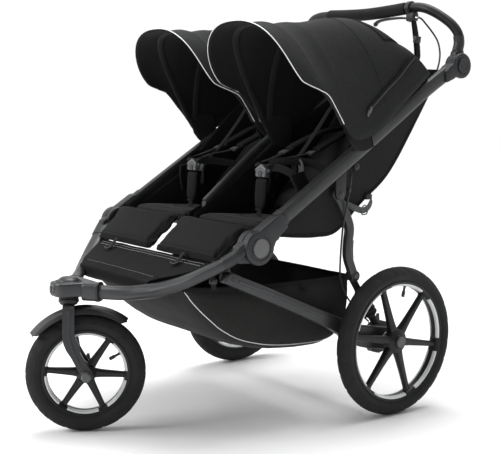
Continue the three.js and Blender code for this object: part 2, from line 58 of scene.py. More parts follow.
# Driving sizes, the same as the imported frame's.
REAR = {"y": 304, "z": 197, "radius": 197, "rim": 161, "track": 351.5, "half": 22, "first": -10.5}
FRONT = {"radius": 147.4, "rim": 109, "half": 21, "trail": 41, "first": -5}
STEER_Y = -467
CASTER_TURN = -27.35
FOLD = (-146.5, 474.6)
ARM = (-205, 402)
LEG_TOP = (114, 591)
KNEE = (182, 376)
PIVOT = (531, 923)
TUBE_X = 329
SEAT_IN, SEAT_OUT = 14, 304
SEAT_MID = (SEAT_IN + SEAT_OUT) / 2
CANOPY_IN, CANOPY_OUT = 13, 352
CANOPY_MID = (CANOPY_IN + CANOPY_OUT) / 2


# ------------------------------------------------------------------ materials
def shader(name, color, roughness, metallic=0.0):
    """A new material, its node tree and its Principled shader."""
    mat = bpy.data.materials.new(name)
    mat.use_nodes = True
    tree = mat.node_tree
    bsdf = tree.nodes["Principled BSDF"]
    bsdf.inputs["Base Color"].default_value = (*color, 1)
    bsdf.inputs["Roughness"].default_value = roughness
    bsdf.inputs["Metallic"].default_value = metallic
    return mat, tree, bsdf


def add_noise(tree, scale, detail=3.0, roughness=0.55, stretch=(1, 1, 1)):
    """A noise texture over object coordinates; returns its factor output."""
    place = tree.nodes.new("ShaderNodeTexCoord")
    mapping = tree.nodes.new("ShaderNodeMapping")
    mapping.inputs["Scale"].default_value = stretch
    texture = tree.nodes.new("ShaderNodeTexNoise")
    texture.inputs["Scale"].default_value = scale
    texture.inputs["Detail"].default_value = detail
    texture.inputs["Roughness"].default_value = roughness
    tree.links.new(place.outputs["Object"], mapping.inputs["Vector"])
    tree.links.new(mapping.outputs["Vector"], texture.inputs["Vector"])
    return texture.outputs["Fac"]


def ramp(tree, value, stops):
    """A colour ramp: stops are (place, colour or grey)."""
    node = tree.nodes.new("ShaderNodeValToRGB")
    tree.links.new(value, node.inputs["Fac"])
    elements = node.color_ramp.elements
    while len(elements) < len(stops):
        elements.new(0.5)
    for element, (place, color) in zip(elements, stops):
        element.position = place
        element.color = (*color, 1) if hasattr(color, "__len__") else (color, color, color, 1)
    return node.outputs["Color"]


def scaled(color, factor):
    return tuple(min(1.0, c * factor) for c in color)


def bump(tree, bsdf, layers):
    """Chained bumps: layers are (height output, strength, distance in millimetres)."""
    previous = None
    for height, strength, distance in layers:
        node = tree.nodes.new("ShaderNodeBump")
        node.inputs["Strength"].default_value = strength
        node.inputs["Distance"].default_value = distance * MM
        tree.links.new(height, node.inputs["Height"])
        if previous is not None:
            tree.links.new(previous, node.inputs["Normal"])
        previous = node.outputs["Normal"]
    tree.links.new(previous, bsdf.inputs["Normal"])


def multiply(tree, a, b, mode="MULTIPLY", factor=1.0):
    node = tree.nodes.new("ShaderNodeMix")
    node.data_type = "RGBA"
    node.blend_type = mode
    node.inputs["Factor"].default_value = factor
    tree.links.new(a, node.inputs[6])
    tree.links.new(b, node.inputs[7])
    return node.outputs[2]


def coated_metal(name, color, roughness=0.38):
    """Satin powder coat on aluminium: fine orange peel and a slight tone drift."""
    mat, tree, bsdf = shader(name, color, roughness, 0.55)
    drift = ramp(tree, add_noise(tree, 5, 4), [(0.3, scaled(color, 0.88)), (0.7, scaled(color, 1.1))])
    tree.links.new(drift, bsdf.inputs["Base Color"])
    peel = add_noise(tree, 900, 2)
    rough = ramp(tree, add_noise(tree, 40, 3), [(0.25, roughness - 0.06), (0.75, roughness + 0.08)])
    tree.links.new(rough, bsdf.inputs["Roughness"])
    bump(tree, bsdf, [(peel, 0.12, 0.12), (add_noise(tree, 120, 2), 0.05, 0.2)])
    return mat


def moulded_plastic(name, color, roughness=0.5, grain=650, gloss=0.5):
    """Moulded plastic with a fine spark-eroded grain."""
    mat, tree, bsdf = shader(name, color, roughness)
    bsdf.inputs["Specular IOR Level"].default_value = gloss
    drift = ramp(tree, add_noise(tree, 9, 3), [(0.3, scaled(color, 0.85)), (0.7, scaled(color, 1.15))])
    tree.links.new(drift, bsdf.inputs["Base Color"])
    fine = add_noise(tree, grain, 3)
    rough = ramp(tree, fine, [(0.3, roughness - 0.08), (0.7, roughness + 0.08)])
    tree.links.new(rough, bsdf.inputs["Roughness"])
    bump(tree, bsdf, [(fine, 0.2, 0.15)])
    return mat


def rubber(name, color, roughness=0.78):
    """Rubber with a dusty tone that gathers in patches and a dull moulded skin."""
    mat, tree, bsdf = shader(name, color, roughness)
    bsdf.inputs["Specular IOR Level"].default_value = 0.22
    dusty = ramp(tree, add_noise(tree, 14, 5, 0.6), [
        (0.32, scaled(color, 0.8)), (0.6, color), (0.78, scaled(color, 1.35))])
    tree.links.new(dusty, bsdf.inputs["Base Color"])
    skin = add_noise(tree, 420, 4)
    tree.links.new(ramp(tree, skin, [(0.3, roughness - 0.1), (0.7, roughness + 0.1)]),
                   bsdf.inputs["Roughness"])
    bump(tree, bsdf, [(skin, 0.25, 0.3)])
    return mat


def math_node(tree, operation, a, b=None, c=None):
    node = tree.nodes.new("ShaderNodeMath")
    node.operation = operation
    for socket, value in zip(node.inputs, (a, b, c)):
        if value is None:
            continue
        if isinstance(value, (int, float)):
            socket.default_value = value
        else:
            tree.links.new(value, socket)
    return node.outputs[0]


def weave(tree, period, second=None):
    """Over-and-under threads of that period in millimetres, laid along whichever two axes
    the surface faces across. second gives the other thread's period."""
    place = tree.nodes.new("ShaderNodeTexCoord")
    at = tree.nodes.new("ShaderNodeSeparateXYZ")
    facing = tree.nodes.new("ShaderNodeSeparateXYZ")
    tree.links.new(place.outputs["Object"], at.inputs[0])
    tree.links.new(place.outputs["Normal"], facing.inputs[0])
    periods = (second or period, period, period)
    waves = [
        math_node(tree, "SINE", math_node(tree, "MULTIPLY", axis, 2 * math.pi / (p * MM)))
        for axis, p in zip(at.outputs, periods)
    ]
    weights = [math_node(tree, "MULTIPLY", axis, axis) for axis in facing.outputs]
    total = None
    for i in range(3):
        crossed = math_node(tree, "MULTIPLY", waves[(i + 1) % 3], waves[(i + 2) % 3])
        share = math_node(tree, "MULTIPLY", crossed, weights[i])
        total = share if total is None else math_node(tree, "ADD", total, share)
    return math_node(tree, "MULTIPLY_ADD", total, 0.5)


def cloth(name, color, period=1.6, roughness=0.9, sheen=0.05, wrinkle=0.25, heather=0.12,
          second=None, thread=0.35):
    """Woven cloth: threads, heathered yarn, tone drift, soft creases and a little sheen."""
    mat, tree, bsdf = shader(name, color, roughness)
    bsdf.inputs["Sheen Weight"].default_value = sheen
    bsdf.inputs["Sheen Roughness"].default_value = 0.45
    bsdf.inputs["Specular IOR Level"].default_value = 0.16
    threads = weave(tree, period, second)
    drift = ramp(tree, add_noise(tree, 6, 4, 0.6), [
        (0.3, scaled(color, 1 - heather)), (0.7, scaled(color, 1 + heather))])
    yarn = ramp(tree, add_noise(tree, 380, 3, 0.7, (1, 0.35, 1)), [(0.35, 0.8), (0.68, 1.15)])
    over = ramp(tree, threads, [(0.2, 0.82), (0.8, 1.12)])
    tree.links.new(multiply(tree, multiply(tree, drift, yarn), over), bsdf.inputs["Base Color"])
    creases = add_noise(tree, 16, 5, 0.55, (1, 1, 0.7))
    bump(tree, bsdf, [(creases, wrinkle, 6.0), (threads, thread, 0.35)])
    return mat


def reflective(name, color):
    """Silver reflective tape with the fine beads that scatter light."""
    mat, tree, bsdf = shader(name, color, 0.35, 0.2)
    beads = tree.nodes.new("ShaderNodeTexVoronoi")
    place = tree.nodes.new("ShaderNodeTexCoord")
    tree.links.new(place.outputs["Object"], beads.inputs["Vector"])
    beads.inputs["Scale"].default_value = 1500
    tree.links.new(
        ramp(tree, beads.outputs["Distance"], [(0.0, scaled(color, 1.08)), (0.7, scaled(color, 0.82))]),
        bsdf.inputs["Base Color"])
    bump(tree, bsdf, [(beads.outputs["Distance"], 0.3, 0.1)])
    return mat


METAL = coated_metal("frame_coat", (0.048, 0.049, 0.051))
METAL_DARK = coated_metal("arm_coat", (0.034, 0.035, 0.037), 0.42)
PLASTIC = moulded_plastic("black_plastic", (0.016, 0.0165, 0.017))
HUB_GREY = moulded_plastic("grey_plastic", (0.085, 0.086, 0.088), 0.42)
BADGE = moulded_plastic("badge_plastic", (0.11, 0.111, 0.113), 0.42)
BAR_COAT = coated_metal("bar_coat", (0.022, 0.0225, 0.0235), 0.45)
BUCKLE_GREY = moulded_plastic("buckle_plastic", (0.085, 0.087, 0.093), 0.42)
RIM = moulded_plastic("wheel_plastic", (0.009, 0.0092, 0.0097), 0.4, gloss=0.3)
TYRE = rubber("tyre_rubber", (0.021, 0.0213, 0.0217))
BOOT = rubber("boot_rubber", (0.016, 0.016, 0.017), 0.6)
FOAM = rubber("grip_foam", (0.02, 0.02, 0.021), 0.9)
SEAT_CLOTH = cloth("seat_cloth", (0.016, 0.0162, 0.0168), 1.8)
# Painted shade: the pad cloth is a darker copy of the seat cloth. It was darkened to offset the strong
# top light falling on the pads.
SHADE_DARKENED_PAD_CLOTH = cloth("pad_cloth", (0.008, 0.0081, 0.0086), 1.4, wrinkle=0.15, sheen=0.03)
# Painted shade: the footrest cloth is a much darker copy of the seat cloth. It was darkened to offset
# the top light on the footrest's upward face.
SHADE_DARKENED_FOOT_CLOTH = cloth("foot_cloth", (0.005, 0.0052, 0.006), 1.0, wrinkle=0.06, sheen=0.01)
SIDE_CLOTH = cloth("side_cloth", (0.02, 0.02, 0.0195), 2.4, wrinkle=0.3, thread=0.5)
MESH_CLOTH = cloth("net_cloth", (0.009, 0.0088, 0.0082), 3.2, wrinkle=0.1, thread=0.9)
CANOPY_CLOTH = cloth("canopy_cloth", (0.02, 0.0206, 0.021), 1.2, sheen=0.04, wrinkle=0.3)
# Partly painted shade: the lining is darker than the outer canopy cloth. This is partly its own colour
# and partly painted shade for the inside of the hood. The vent flap uses it too.
PARTLY_SHADED_LINING = cloth("canopy_lining", (0.014, 0.0141, 0.0146), 1.2, sheen=0.02, wrinkle=0.3)
BOW_TAPE = cloth("bow_tape", (0.024, 0.024, 0.025), 1.0, wrinkle=0.08)
BINDING = cloth("binding", (0.01, 0.01, 0.0106), 1.0, wrinkle=0.05, second=2.5)
BASKET_CLOTH = cloth("basket_cloth", (0.022, 0.0223, 0.0215), 1.6, wrinkle=0.5, sheen=0.04)
WEBBING = cloth("webbing", (0.013, 0.0132, 0.014), 1.6, wrinkle=0.05, second=3.2, thread=0.8)
GREY_WEB = cloth("grey_webbing", (0.1, 0.102, 0.106), 1.6, wrinkle=0.05, second=3.2, thread=0.8)
PIPING = reflective("piping", (0.82, 0.83, 0.84))
TAPE = reflective("rim_tape", (0.8, 0.81, 0.82))
THREAD = cloth("thread", (0.42, 0.42, 0.42), 0.6, wrinkle=0.0, heather=0.05)
DARK_THREAD = cloth("dark_thread", (0.01, 0.01, 0.011), 0.6, wrinkle=0.0, heather=0.05)
STEEL = shader("brushed_steel", (0.5, 0.5, 0.51), 0.3, 1.0)


def brushed(made):
    """Adds a brushed grain to a bright metal."""
    mat, tree, bsdf = made
    grain = add_noise(tree, 260, 4, 0.6, (1, 8, 8))
    tree.links.new(ramp(tree, grain, [(0.3, 0.22), (0.7, 0.42)]), bsdf.inputs["Roughness"])
    tree.links.new(ramp(tree, grain, [(0.2, (0.42, 0.42, 0.43)), (0.8, (0.56, 0.56, 0.57))]),
                   bsdf.inputs["Base Color"])
    bump(tree, bsdf, [(grain, 0.1, 0.1)])
    return mat


STEEL = brushed(STEEL)


# ------------------------------------------------------------------ mesh helpers
def make(name, verts, faces, mat, smooth=True, sharp=None):
    """A mesh object from millimetre vertices."""
    mesh = bpy.data.meshes.new(name)
    mesh.from_pydata([tuple(float(c) * MM for c in v) for v in verts], [], faces)
    mesh.update()
    mesh.materials.append(mat)
    mesh.polygons.foreach_set("use_smooth", [smooth] * len(mesh.polygons))
    obj = bpy.data.objects.new(name, mesh)
    scene.collection.objects.link(obj)
    if sharp:
        mesh.set_sharp_from_angle(angle=math.radians(sharp))
    return obj


def outward(obj):
    """Turns every face of a closed mesh to point out."""
    bm = bmesh.new()
    bm.from_mesh(obj.data)
    bmesh.ops.recalc_face_normals(bm, faces=bm.faces)
    bm.to_mesh(obj.data)
    bm.free()
    return obj


def bake(obj):
    """Applies every modifier."""
    bpy.context.view_layer.update()
    graph = bpy.context.evaluated_depsgraph_get()
    mesh = bpy.data.meshes.new_from_object(obj.evaluated_get(graph))
    obj.modifiers.clear()
    obj.data = mesh
    return obj


def with_modifier(obj, kind, **settings):
    modifier = obj.modifiers.new(kind.lower(), kind)
    for key, value in settings.items():
        setattr(modifier, key, value)
    return bake(obj)


def bevelled(obj, width, segments=3, angle=28, sharp=40):
    with_modifier(obj, "BEVEL", width=width * MM, segments=segments, limit_method="ANGLE",
                  angle_limit=math.radians(angle), harden_normals=False)
    obj.data.polygons.foreach_set("use_smooth", [True] * len(obj.data.polygons))
    obj.data.set_sharp_from_angle(angle=math.radians(sharp))
    return obj


def subdivided(obj, levels=1):
    return with_modifier(obj, "SUBSURF", levels=levels, render_levels=levels)


def thick(obj, thickness, offset=-1.0):
    return with_modifier(obj, "SOLIDIFY", thickness=thickness * MM, offset=offset,
                         use_even_offset=False, use_rim=True)


def join(name, *objs):
    """One object holding all of these; the first one's transform is kept."""
    with bpy.context.temp_override(
        active_object=objs[0], object=objs[0], selected_objects=objs,
        selected_editable_objects=objs,
    ):
        bpy.ops.object.join()
    objs[0].name = name
    objs[0].data.name = name
    return objs[0]


def moved(obj, matrix):
    """Moves the mesh itself; the matrix is in millimetres."""
    metres = matrix.copy()
    metres.translation = matrix.translation * MM
    obj.data.transform(metres)
    if metres.determinant() < 0:
        obj.data.flip_normals()
    return obj


def copied(obj, name, matrix=None):
    other = bpy.data.objects.new(name, obj.data.copy())
    scene.collection.objects.link(other)
    return moved(other, matrix) if matrix is not None else other


MIRROR = Matrix.Diagonal((-1, 1, 1, 1))


def curve(points, steps):
    """Evenly spaced points on a smooth curve through the given ones."""
    pts = np.array(points, float)
    if len(pts) == 2:
        return np.linspace(pts[0], pts[1], steps + 1)
    gap = np.sqrt(np.linalg.norm(np.diff(pts, axis=0), axis=1))
    slope = np.diff(pts, axis=0) / gap[:, None]
    tangent = np.empty_like(pts)
    tangent[0], tangent[-1] = slope[0], slope[-1]
    for i in range(1, len(pts) - 1):
        tangent[i] = (slope[i - 1] * gap[i] + slope[i] * gap[i - 1]) / (gap[i - 1] + gap[i])
    fine = []
    for i in range(len(pts) - 1):
        for t in np.linspace(0, 1, 16, endpoint=False):
            a, b = 2 * t**3 - 3 * t**2 + 1, t**3 - 2 * t**2 + t
            c, d = -2 * t**3 + 3 * t**2, t**3 - t**2
            fine.append(a * pts[i] + b * gap[i] * tangent[i] + c * pts[i + 1]
                        + d * gap[i] * tangent[i + 1])
    fine = np.array(fine + [pts[-1]])
    run = np.r_[0, np.cumsum(np.linalg.norm(np.diff(fine, axis=0), axis=1))]
    at = np.linspace(0, run[-1], steps + 1)
    return np.stack([np.interp(at, run, fine[:, k]) for k in range(fine.shape[1])], 1)


def length_of(line):
    return float(np.linalg.norm(np.diff(np.array(line), axis=0), axis=1).sum())


def unit(v):
    v = np.array(v, float)
    return v / max(np.linalg.norm(v), 1e-9)


def rounded(width, height, radius, k=4):
    """A rounded rectangle round the origin."""
    out = []
    for sx, sy, start in ((1, 1, 0), (-1, 1, 90), (-1, -1, 180), (1, -1, 270)):
        cx, cy = sx * (width / 2 - radius), sy * (height / 2 - radius)
        for i in range(k + 1):
            a = math.radians(start + 90 * i / k)
            out.append((cx + radius * math.cos(a), cy + radius * math.sin(a)))
    return out


def ring(radius, n=20):
    return [(radius * math.cos(2 * math.pi * i / n), radius * math.sin(2 * math.pi * i / n))
            for i in range(n)]


def sweep(name, points, section, mat, steps=40, side=None, scale=None, straight=False,
          sharp=35, sides=None):
    """A section carried along a smooth curve. side fixes which way the section's first axis
    points; scale(s) gives its two scales at s from 0 to 1."""
    line = np.array(points, float) if straight else curve(points, steps)
    tangents = np.gradient(line, axis=0)
    tangents /= np.linalg.norm(tangents, axis=1)[:, None]
    across = unit(side if side is not None else (
        (0, 0, 1) if abs(tangents[0][2]) < 0.9 else (1, 0, 0)))
    verts = []
    for i, (point, tangent) in enumerate(zip(line, tangents)):
        wanted = unit(sides[i]) if sides is not None else (
            unit(side) if side is not None else across)
        across = unit(wanted - tangent * wanted.dot(tangent))
        up = np.cross(across, tangent)
        sa, sb = scale(i / (len(line) - 1)) if scale else (1, 1)
        verts += [point + across * a * sa + up * b * sb for a, b in section]
    n = len(section)
    faces = [
        (i * n + j, i * n + (j + 1) % n, (i + 1) * n + (j + 1) % n, (i + 1) * n + j)
        for i in range(len(line) - 1) for j in range(n)
    ]
    faces += [tuple(range(n))[::-1], tuple(range((len(line) - 1) * n, len(line) * n))]
    obj = outward(make(name, verts, faces, mat))
    if sharp:
        obj.data.set_sharp_from_angle(angle=math.radians(sharp))
    return obj


def strap(name, points, width, mat, thickness=1.8, side=(1, 0, 0), steps=36, sides=None,
          scale=None):
    """Flat webbing with softly rounded edges."""
    return sweep(name, points, rounded(width, thickness, thickness * 0.48, 2), mat, steps, side,
                 sharp=50, sides=sides, scale=scale)


def lathe(name, profile, mat, segments=64, place=(0, 0, 0), axis="X", closed=False, sharp=32):
    """A profile of (radius, distance along the axis), revolved."""
    verts, faces = [], []
    n = len(profile)
    for i in range(segments):
        a = 2 * math.pi * i / segments
        for r, d in profile:
            verts.append({
                "X": (d, r * math.cos(a), r * math.sin(a)),
                "Y": (r * math.sin(a), d, r * math.cos(a)),
                "Z": (r * math.cos(a), r * math.sin(a), d),
            }[axis])
    last = n if closed else n - 1
    for i in range(segments):
        o, p = i * n, ((i + 1) % segments) * n
        faces += [(o + j, o + (j + 1) % n, p + (j + 1) % n, p + j) for j in range(last)]
    verts = [tuple(c + o for c, o in zip(v, place)) for v in verts]
    obj = make(name, verts, faces, mat)
    bm = bmesh.new()
    bm.from_mesh(obj.data)
    bmesh.ops.remove_doubles(bm, verts=bm.verts, dist=1e-6)
    bmesh.ops.recalc_face_normals(bm, faces=bm.faces)
    bm.to_mesh(obj.data)
    bm.free()
    if sharp:
        obj.data.set_sharp_from_angle(angle=math.radians(sharp))
    return obj


def arc(cy, cz, r, a0, a1, n=8):
    return [(cy + r * math.cos(math.radians(a0 + (a1 - a0) * i / n)),
             cz + r * math.sin(math.radians(a0 + (a1 - a0) * i / n))) for i in range(n + 1)]


def plate(name, outline, x0, x1, mat, bevel=2.0, segments=3, axis="X", angle=28):
    """A bevelled plate: an outline in the plane across the axis, from x0 to x1 along it."""
    n = len(outline)
    order = {"X": lambda p, d: (d, p[0], p[1]), "Z": lambda p, d: (p[0], p[1], d),
             "Y": lambda p, d: (p[0], d, p[1])}[axis]
    verts = [order(p, x0) for p in outline] + [order(p, x1) for p in outline]
    faces = [tuple(range(n)), tuple(range(n, 2 * n))[::-1]]
    faces += [(i, (i + 1) % n, (i + 1) % n + n, i + n) for i in range(n)]
    obj = outward(make(name, verts, faces, mat))
    return bevelled(obj, bevel, segments, angle) if bevel else obj


def grid(name, place, nu, nv, mat, closed_u=False):
    """A sheet: place(u, v) gives each point, with u and v from 0 to 1."""
    us = nu if closed_u else nu + 1
    verts = [place(i / nu, j / nv) for i in range(us) for j in range(nv + 1)]
    faces = []
    for i in range(nu):
        o, p = i * (nv + 1), ((i + 1) % us) * (nv + 1)
        faces += [(o + j, p + j, p + j + 1, o + j + 1) for j in range(nv)]
    return make(name, verts, faces, mat)


def cushion(name, place, nu, nv, mat, rim=0.5):
    """A closed pad: place(u, v, w) gives points, w 0 underneath and 1 on top. Its edge is a
    soft roll rather than a wall."""
    top = [[place(i / nu, j / nv, 1) for j in range(nv + 1)] for i in range(nu + 1)]
    low = [[place(i / nu, j / nv, 0) for j in range(nv + 1)] for i in range(nu + 1)]
    index = {}
    verts = []

    def put(key, point):
        index[key] = len(verts)
        verts.append(point)

    for i in range(nu + 1):
        for j in range(nv + 1):
            edge = i in (0, nu) or j in (0, nv)
            if edge:
                middle = tuple(t * rim + l * (1 - rim) for t, l in zip(top[i][j], low[i][j]))
                put((i, j, "t"), middle)
                index[(i, j, "l")] = index[(i, j, "t")]
            else:
                put((i, j, "t"), top[i][j])
                put((i, j, "l"), low[i][j])
    faces = []
    for i in range(nu):
        for j in range(nv):
            corners = ((i, j), (i + 1, j), (i + 1, j + 1), (i, j + 1))
            faces.append(tuple(index[(*c, "t")] for c in corners))
            faces.append(tuple(index[(*c, "l")] for c in reversed(corners)))
    return outward(make(name, verts, faces, mat))


def mix(a, b, t):
    return a + (b - a) * t


def along(points, t):
    """The point at t from 0 to 1 along a list of points."""
    place = min(max(t, 0), 1) * (len(points) - 1)
    i = min(int(place), len(points) - 2)
    return tuple(mix(p, q, place - i) for p, q in zip(points[i], points[i + 1]))


def smooth_along(points, t):
    """The same on the smooth curve through the points."""
    key = tuple(map(tuple, points))
    if key not in _CURVES:
        pts = np.array(points, float)
        fine = []
        for i in range(len(pts) - 1):
            before = pts[i - 1] if i else 2 * pts[0] - pts[1]
            after = pts[i + 2] if i + 2 < len(pts) else 2 * pts[-1] - pts[-2]
            for s in np.linspace(0, 1, 24, endpoint=False):
                fine.append(0.5 * (2 * pts[i] + (pts[i + 1] - before) * s
                                   + (2 * before - 5 * pts[i] + 4 * pts[i + 1] - after) * s**2
                                   + (3 * pts[i] - before - 3 * pts[i + 1] + after) * s**3))
        _CURVES[key] = [tuple(p) for p in fine] + [tuple(pts[-1])]
    return along(_CURVES[key], t)


_CURVES = {}


def wobble(x, y, z, scale, amount, seed=0.0):
    """A smooth repeatable displacement in millimetres."""
    return amount * noise.noise(Vector((x / scale + seed, y / scale, z / scale)))


# ------------------------------------------------------------------ placing
def put(obj, body, nodes=(), slot=None, squash=None, blend=None):
    """Says which body a piece rides on, what it stands for and where its finish comes from."""
    # Hangs a piece on its body, or with blend bakes its transform in place, and hides the imported parts
    # it stands for. slot is not used.
    if blend:
        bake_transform(obj)
    else:
        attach(obj, body)
        if squash:
            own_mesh(obj)
    if nodes:
        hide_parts(*nodes)
    return obj


def put_pair(obj, stem, body, nodes=(), slot=None, squash=None, blend=None):
    """Places a left piece and its mirror image; {s} in a name stands for the side."""
    other = copied(obj, f"{stem}_right", MIRROR)
    obj.name = f"{stem}_left"
    made = []
    for piece, side in ((obj, "left"), (other, "right")):
        sign = 1 if side == "left" else -1
        turn = blend and [blend[0].format(s=side), blend[1].format(s=side),
                          (sign * blend[2][0], *blend[2][1:]), (sign * blend[3][0], *blend[3][1:])]
        flatten = squash and [squash[0].format(s=side), *squash[1:]]
        put(piece, body.format(s=side), [n.format(s=side) for n in nodes], slot, flatten, turn)
        made.append(piece)
    return made


# ------------------------------------------------------------------ wheels
def tyre(name, radius, rim, half, segments=216, block=9):
    """An air tyre: rounded casing, two sidewall beads, a centre rib and notched shoulders."""
    tall = radius - rim
    casing = curve([
        (rim - 3, -half * 0.62), (rim + tall * 0.12, -half * 0.86), (rim + tall * 0.36, -half),
        (rim + tall * 0.62, -half * 0.93), (rim + tall * 0.86, -half * 0.66),
        (radius - 0.6, -half * 0.3), (radius, 0), (radius - 0.6, half * 0.3),
        (rim + tall * 0.86, half * 0.66), (rim + tall * 0.62, half * 0.93),
        (rim + tall * 0.36, half), (rim + tall * 0.12, half * 0.86), (rim - 3, half * 0.62),
    ], 52)
    verts, faces = [], []
    n = len(casing)
    for i in range(segments):
        a = 2 * math.pi * i / segments
        for r, x in casing:
            side = abs(x) / half
            height = (r - rim) / tall
            drop = 0.0
            if height > 0.5:
                slant = (i + int(side * 6) * (1 if x > 0 else -1)) % block
                if 0.3 < side < 0.98 and slant < 2:
                    drop = 1.6
                if 0.2 < side < 0.29:
                    drop = 1.5
                if side < 0.2 and i % (block * 2) < 1:
                    drop = 0.8
            elif abs(height - 0.2) < 0.025 or abs(height - 0.42) < 0.025:
                drop = -0.7
            out = unit((r - (rim + tall * 0.45), x))
            verts.append((x - out[1] * drop, (r - out[0] * drop) * math.cos(a),
                          (r - out[0] * drop) * math.sin(a)))
    for i in range(segments):
        o, p = i * n, ((i + 1) % segments) * n
        faces += [(o + j, o + (j + 1) % n, p + (j + 1) % n, p + j) for j in range(n)]
    return outward(make(name, verts, faces, TYRE))


def rim_and_spokes(name, rim, half, first, hub, hub_half, valve):
    """A moulded wheel: channel rim, six spokes flared at both ends, hub, valve and tapes."""
    band = lathe(name + "_band", [
        (rim - 3.2, -half * 0.55), (rim - 0.6, -half * 0.68), (rim - 0.4, -half * 0.78),
        (rim - 2.4, -half * 0.82), (rim - 6, -half * 0.78), (rim - 10.5, -half * 0.66),
        (rim - 13.2, -half * 0.5), (rim - 14, -half * 0.3), (rim - 14, half * 0.3),
        (rim - 13.2, half * 0.5), (rim - 10.5, half * 0.66), (rim - 6, half * 0.78),
        (rim - 2.4, half * 0.82), (rim - 0.4, half * 0.78), (rim - 0.6, half * 0.68),
        (rim - 3.2, half * 0.55),
    ], RIM, 128, closed=True)
    parts = [band]
    reach = rim - 11
    for i in range(6):
        angle = math.radians(60 * i + first)
        stations = [(0, 14, 12), (0.14, 11.4, 11), (0.3, 9.6, 9.5), (0.5, 8.6, 8.4),
                    (0.7, 7.8, 7.8), (0.9, 7.2, 7.4), (0.95, 8.4, 7.6), (1, 12, 8.4)]
        loft = curve(stations, 30)
        verts, faces = [], []
        section = rounded(2, 2, 0.55, 3)
        n = len(section)
        for s, wide, deep in loft:
            r = mix(hub * 0.55, reach, s)
            for p, q in section:
                ridge = 1.5 * max(0, 1 - abs(p) * 2.2) * (1 if q > 0.9 or q < -0.9 else 0)
                y, x = p * wide, q * (deep + ridge)
                verts.append((x, r * math.cos(angle) - y * math.sin(angle),
                              r * math.sin(angle) + y * math.cos(angle)))
        for k in range(len(loft) - 1):
            faces += [(k * n + j, k * n + (j + 1) % n, (k + 1) * n + (j + 1) % n, (k + 1) * n + j)
                      for j in range(n)]
        faces += [tuple(range(n))[::-1], tuple(range((len(loft) - 1) * n, len(loft) * n))]
        spoke = outward(make(f"{name}_spoke{i}", verts, faces, RIM))
        spoke.data.set_sharp_from_angle(angle=math.radians(50))
        parts.append(spoke)
    h = hub_half
    flange = hub * 1.32
    parts.append(lathe(name + "_hub", [
        (0, -h), (hub * 0.66, -h), (hub * 0.74, -h + 1.2), (hub * 0.78, -h + 5),
        (hub * 0.95, -h + 7.5), (flange - 2, -12.5), (flange, -10.5), (flange, 10.5),
        (flange - 2, 12.5), (hub * 0.95, h - 7.5), (hub * 0.78, h - 5), (hub * 0.74, h - 1.2),
        (hub * 0.66, h), (0, h),
    ], RIM, 64))
    angle = math.radians(valve)
    base = rim - 12
    parts.append(lathe(name + "_valve", [
        (0, base), (5, base), (5, base - 4), (3.2, base - 5.5), (3.2, base - 16),
        (4.6, base - 17), (4.6, base - 30), (3.6, base - 32), (0, base - 32),
    ], PLASTIC, 20, axis="Z"))
    moved(parts[-1], Matrix.Rotation(angle - math.pi / 2, 4, "X"))
    for i in range(6):
        start, end = 60 * i + first + 7, 60 * i + first + 53
        for sign in (-1, 1):
            low = [(rim - 8.2, 0.77), (rim - 10.2, 0.72), (rim - 12.6, 0.58), (rim - 13.5, 0.44),
                   (rim - 13.8, 0.36)]
            wrap = [(r, x * half * sign) for r, x in low]
            wrap += [(r + 1.8, (x - 0.05) * half * sign) for r, x in low[::-1]]
            n = len(wrap)
            verts, faces = [], []
            steps = 24
            for k in range(steps + 1):
                a = math.radians(mix(start, end, k / steps))
                verts += [(x, (r - 0.7) * math.cos(a), (r - 0.7) * math.sin(a)) for r, x in wrap]
            for k in range(steps):
                faces += [(k * n + j, k * n + (j + 1) % n, (k + 1) * n + (j + 1) % n,
                           (k + 1) * n + j) for j in range(n)]
            faces += [tuple(range(n))[::-1], tuple(range(steps * n, steps * n + n))]
            parts.append(outward(make(f"{name}_tape{i}", verts, faces, TAPE)))
    return join(name, *parts)


def rear_wheels():
    to = Matrix.Translation((REAR["track"], REAR["y"], REAR["z"]))
    wheel = moved(rim_and_spokes("rear_rim", REAR["rim"], REAR["half"], REAR["first"],
                                 hub=24, hub_half=23, valve=77.7), to)
    put_pair(wheel, "rear_rim", "rear_wheel_body_{s}", ["rear_wheel_{s}"], "black_plastic")
    rubber_ring = moved(tyre("rear_tyre_tread", REAR["radius"], REAR["rim"], REAR["half"]), to)
    put_pair(rubber_ring, "rear_tyre_tread", "rear_wheel_body_{s}", ["rear_tyre_{s}"],
             "tyre_rubber")
    button = lathe("release", [
        (0, 20), (14.6, 20), (14.6, 23.2), (15, 24), (14.2, 26.2), (12.5, 26.9), (11.5, 26.2),
        (10.6, 26.2), (9.8, 26.8), (0, 26.9),
    ], HUB_GREY, 48)
    put_pair(moved(button, to), "release_button", "release_{s}", ["wheel_release_{s}"],
             "grey_plastic")


# ------------------------------------------------------------------ caster
CASTER = Matrix.Translation((0, STEER_Y, 0)) @ Matrix.Rotation(math.radians(CASTER_TURN), 4, "Z")


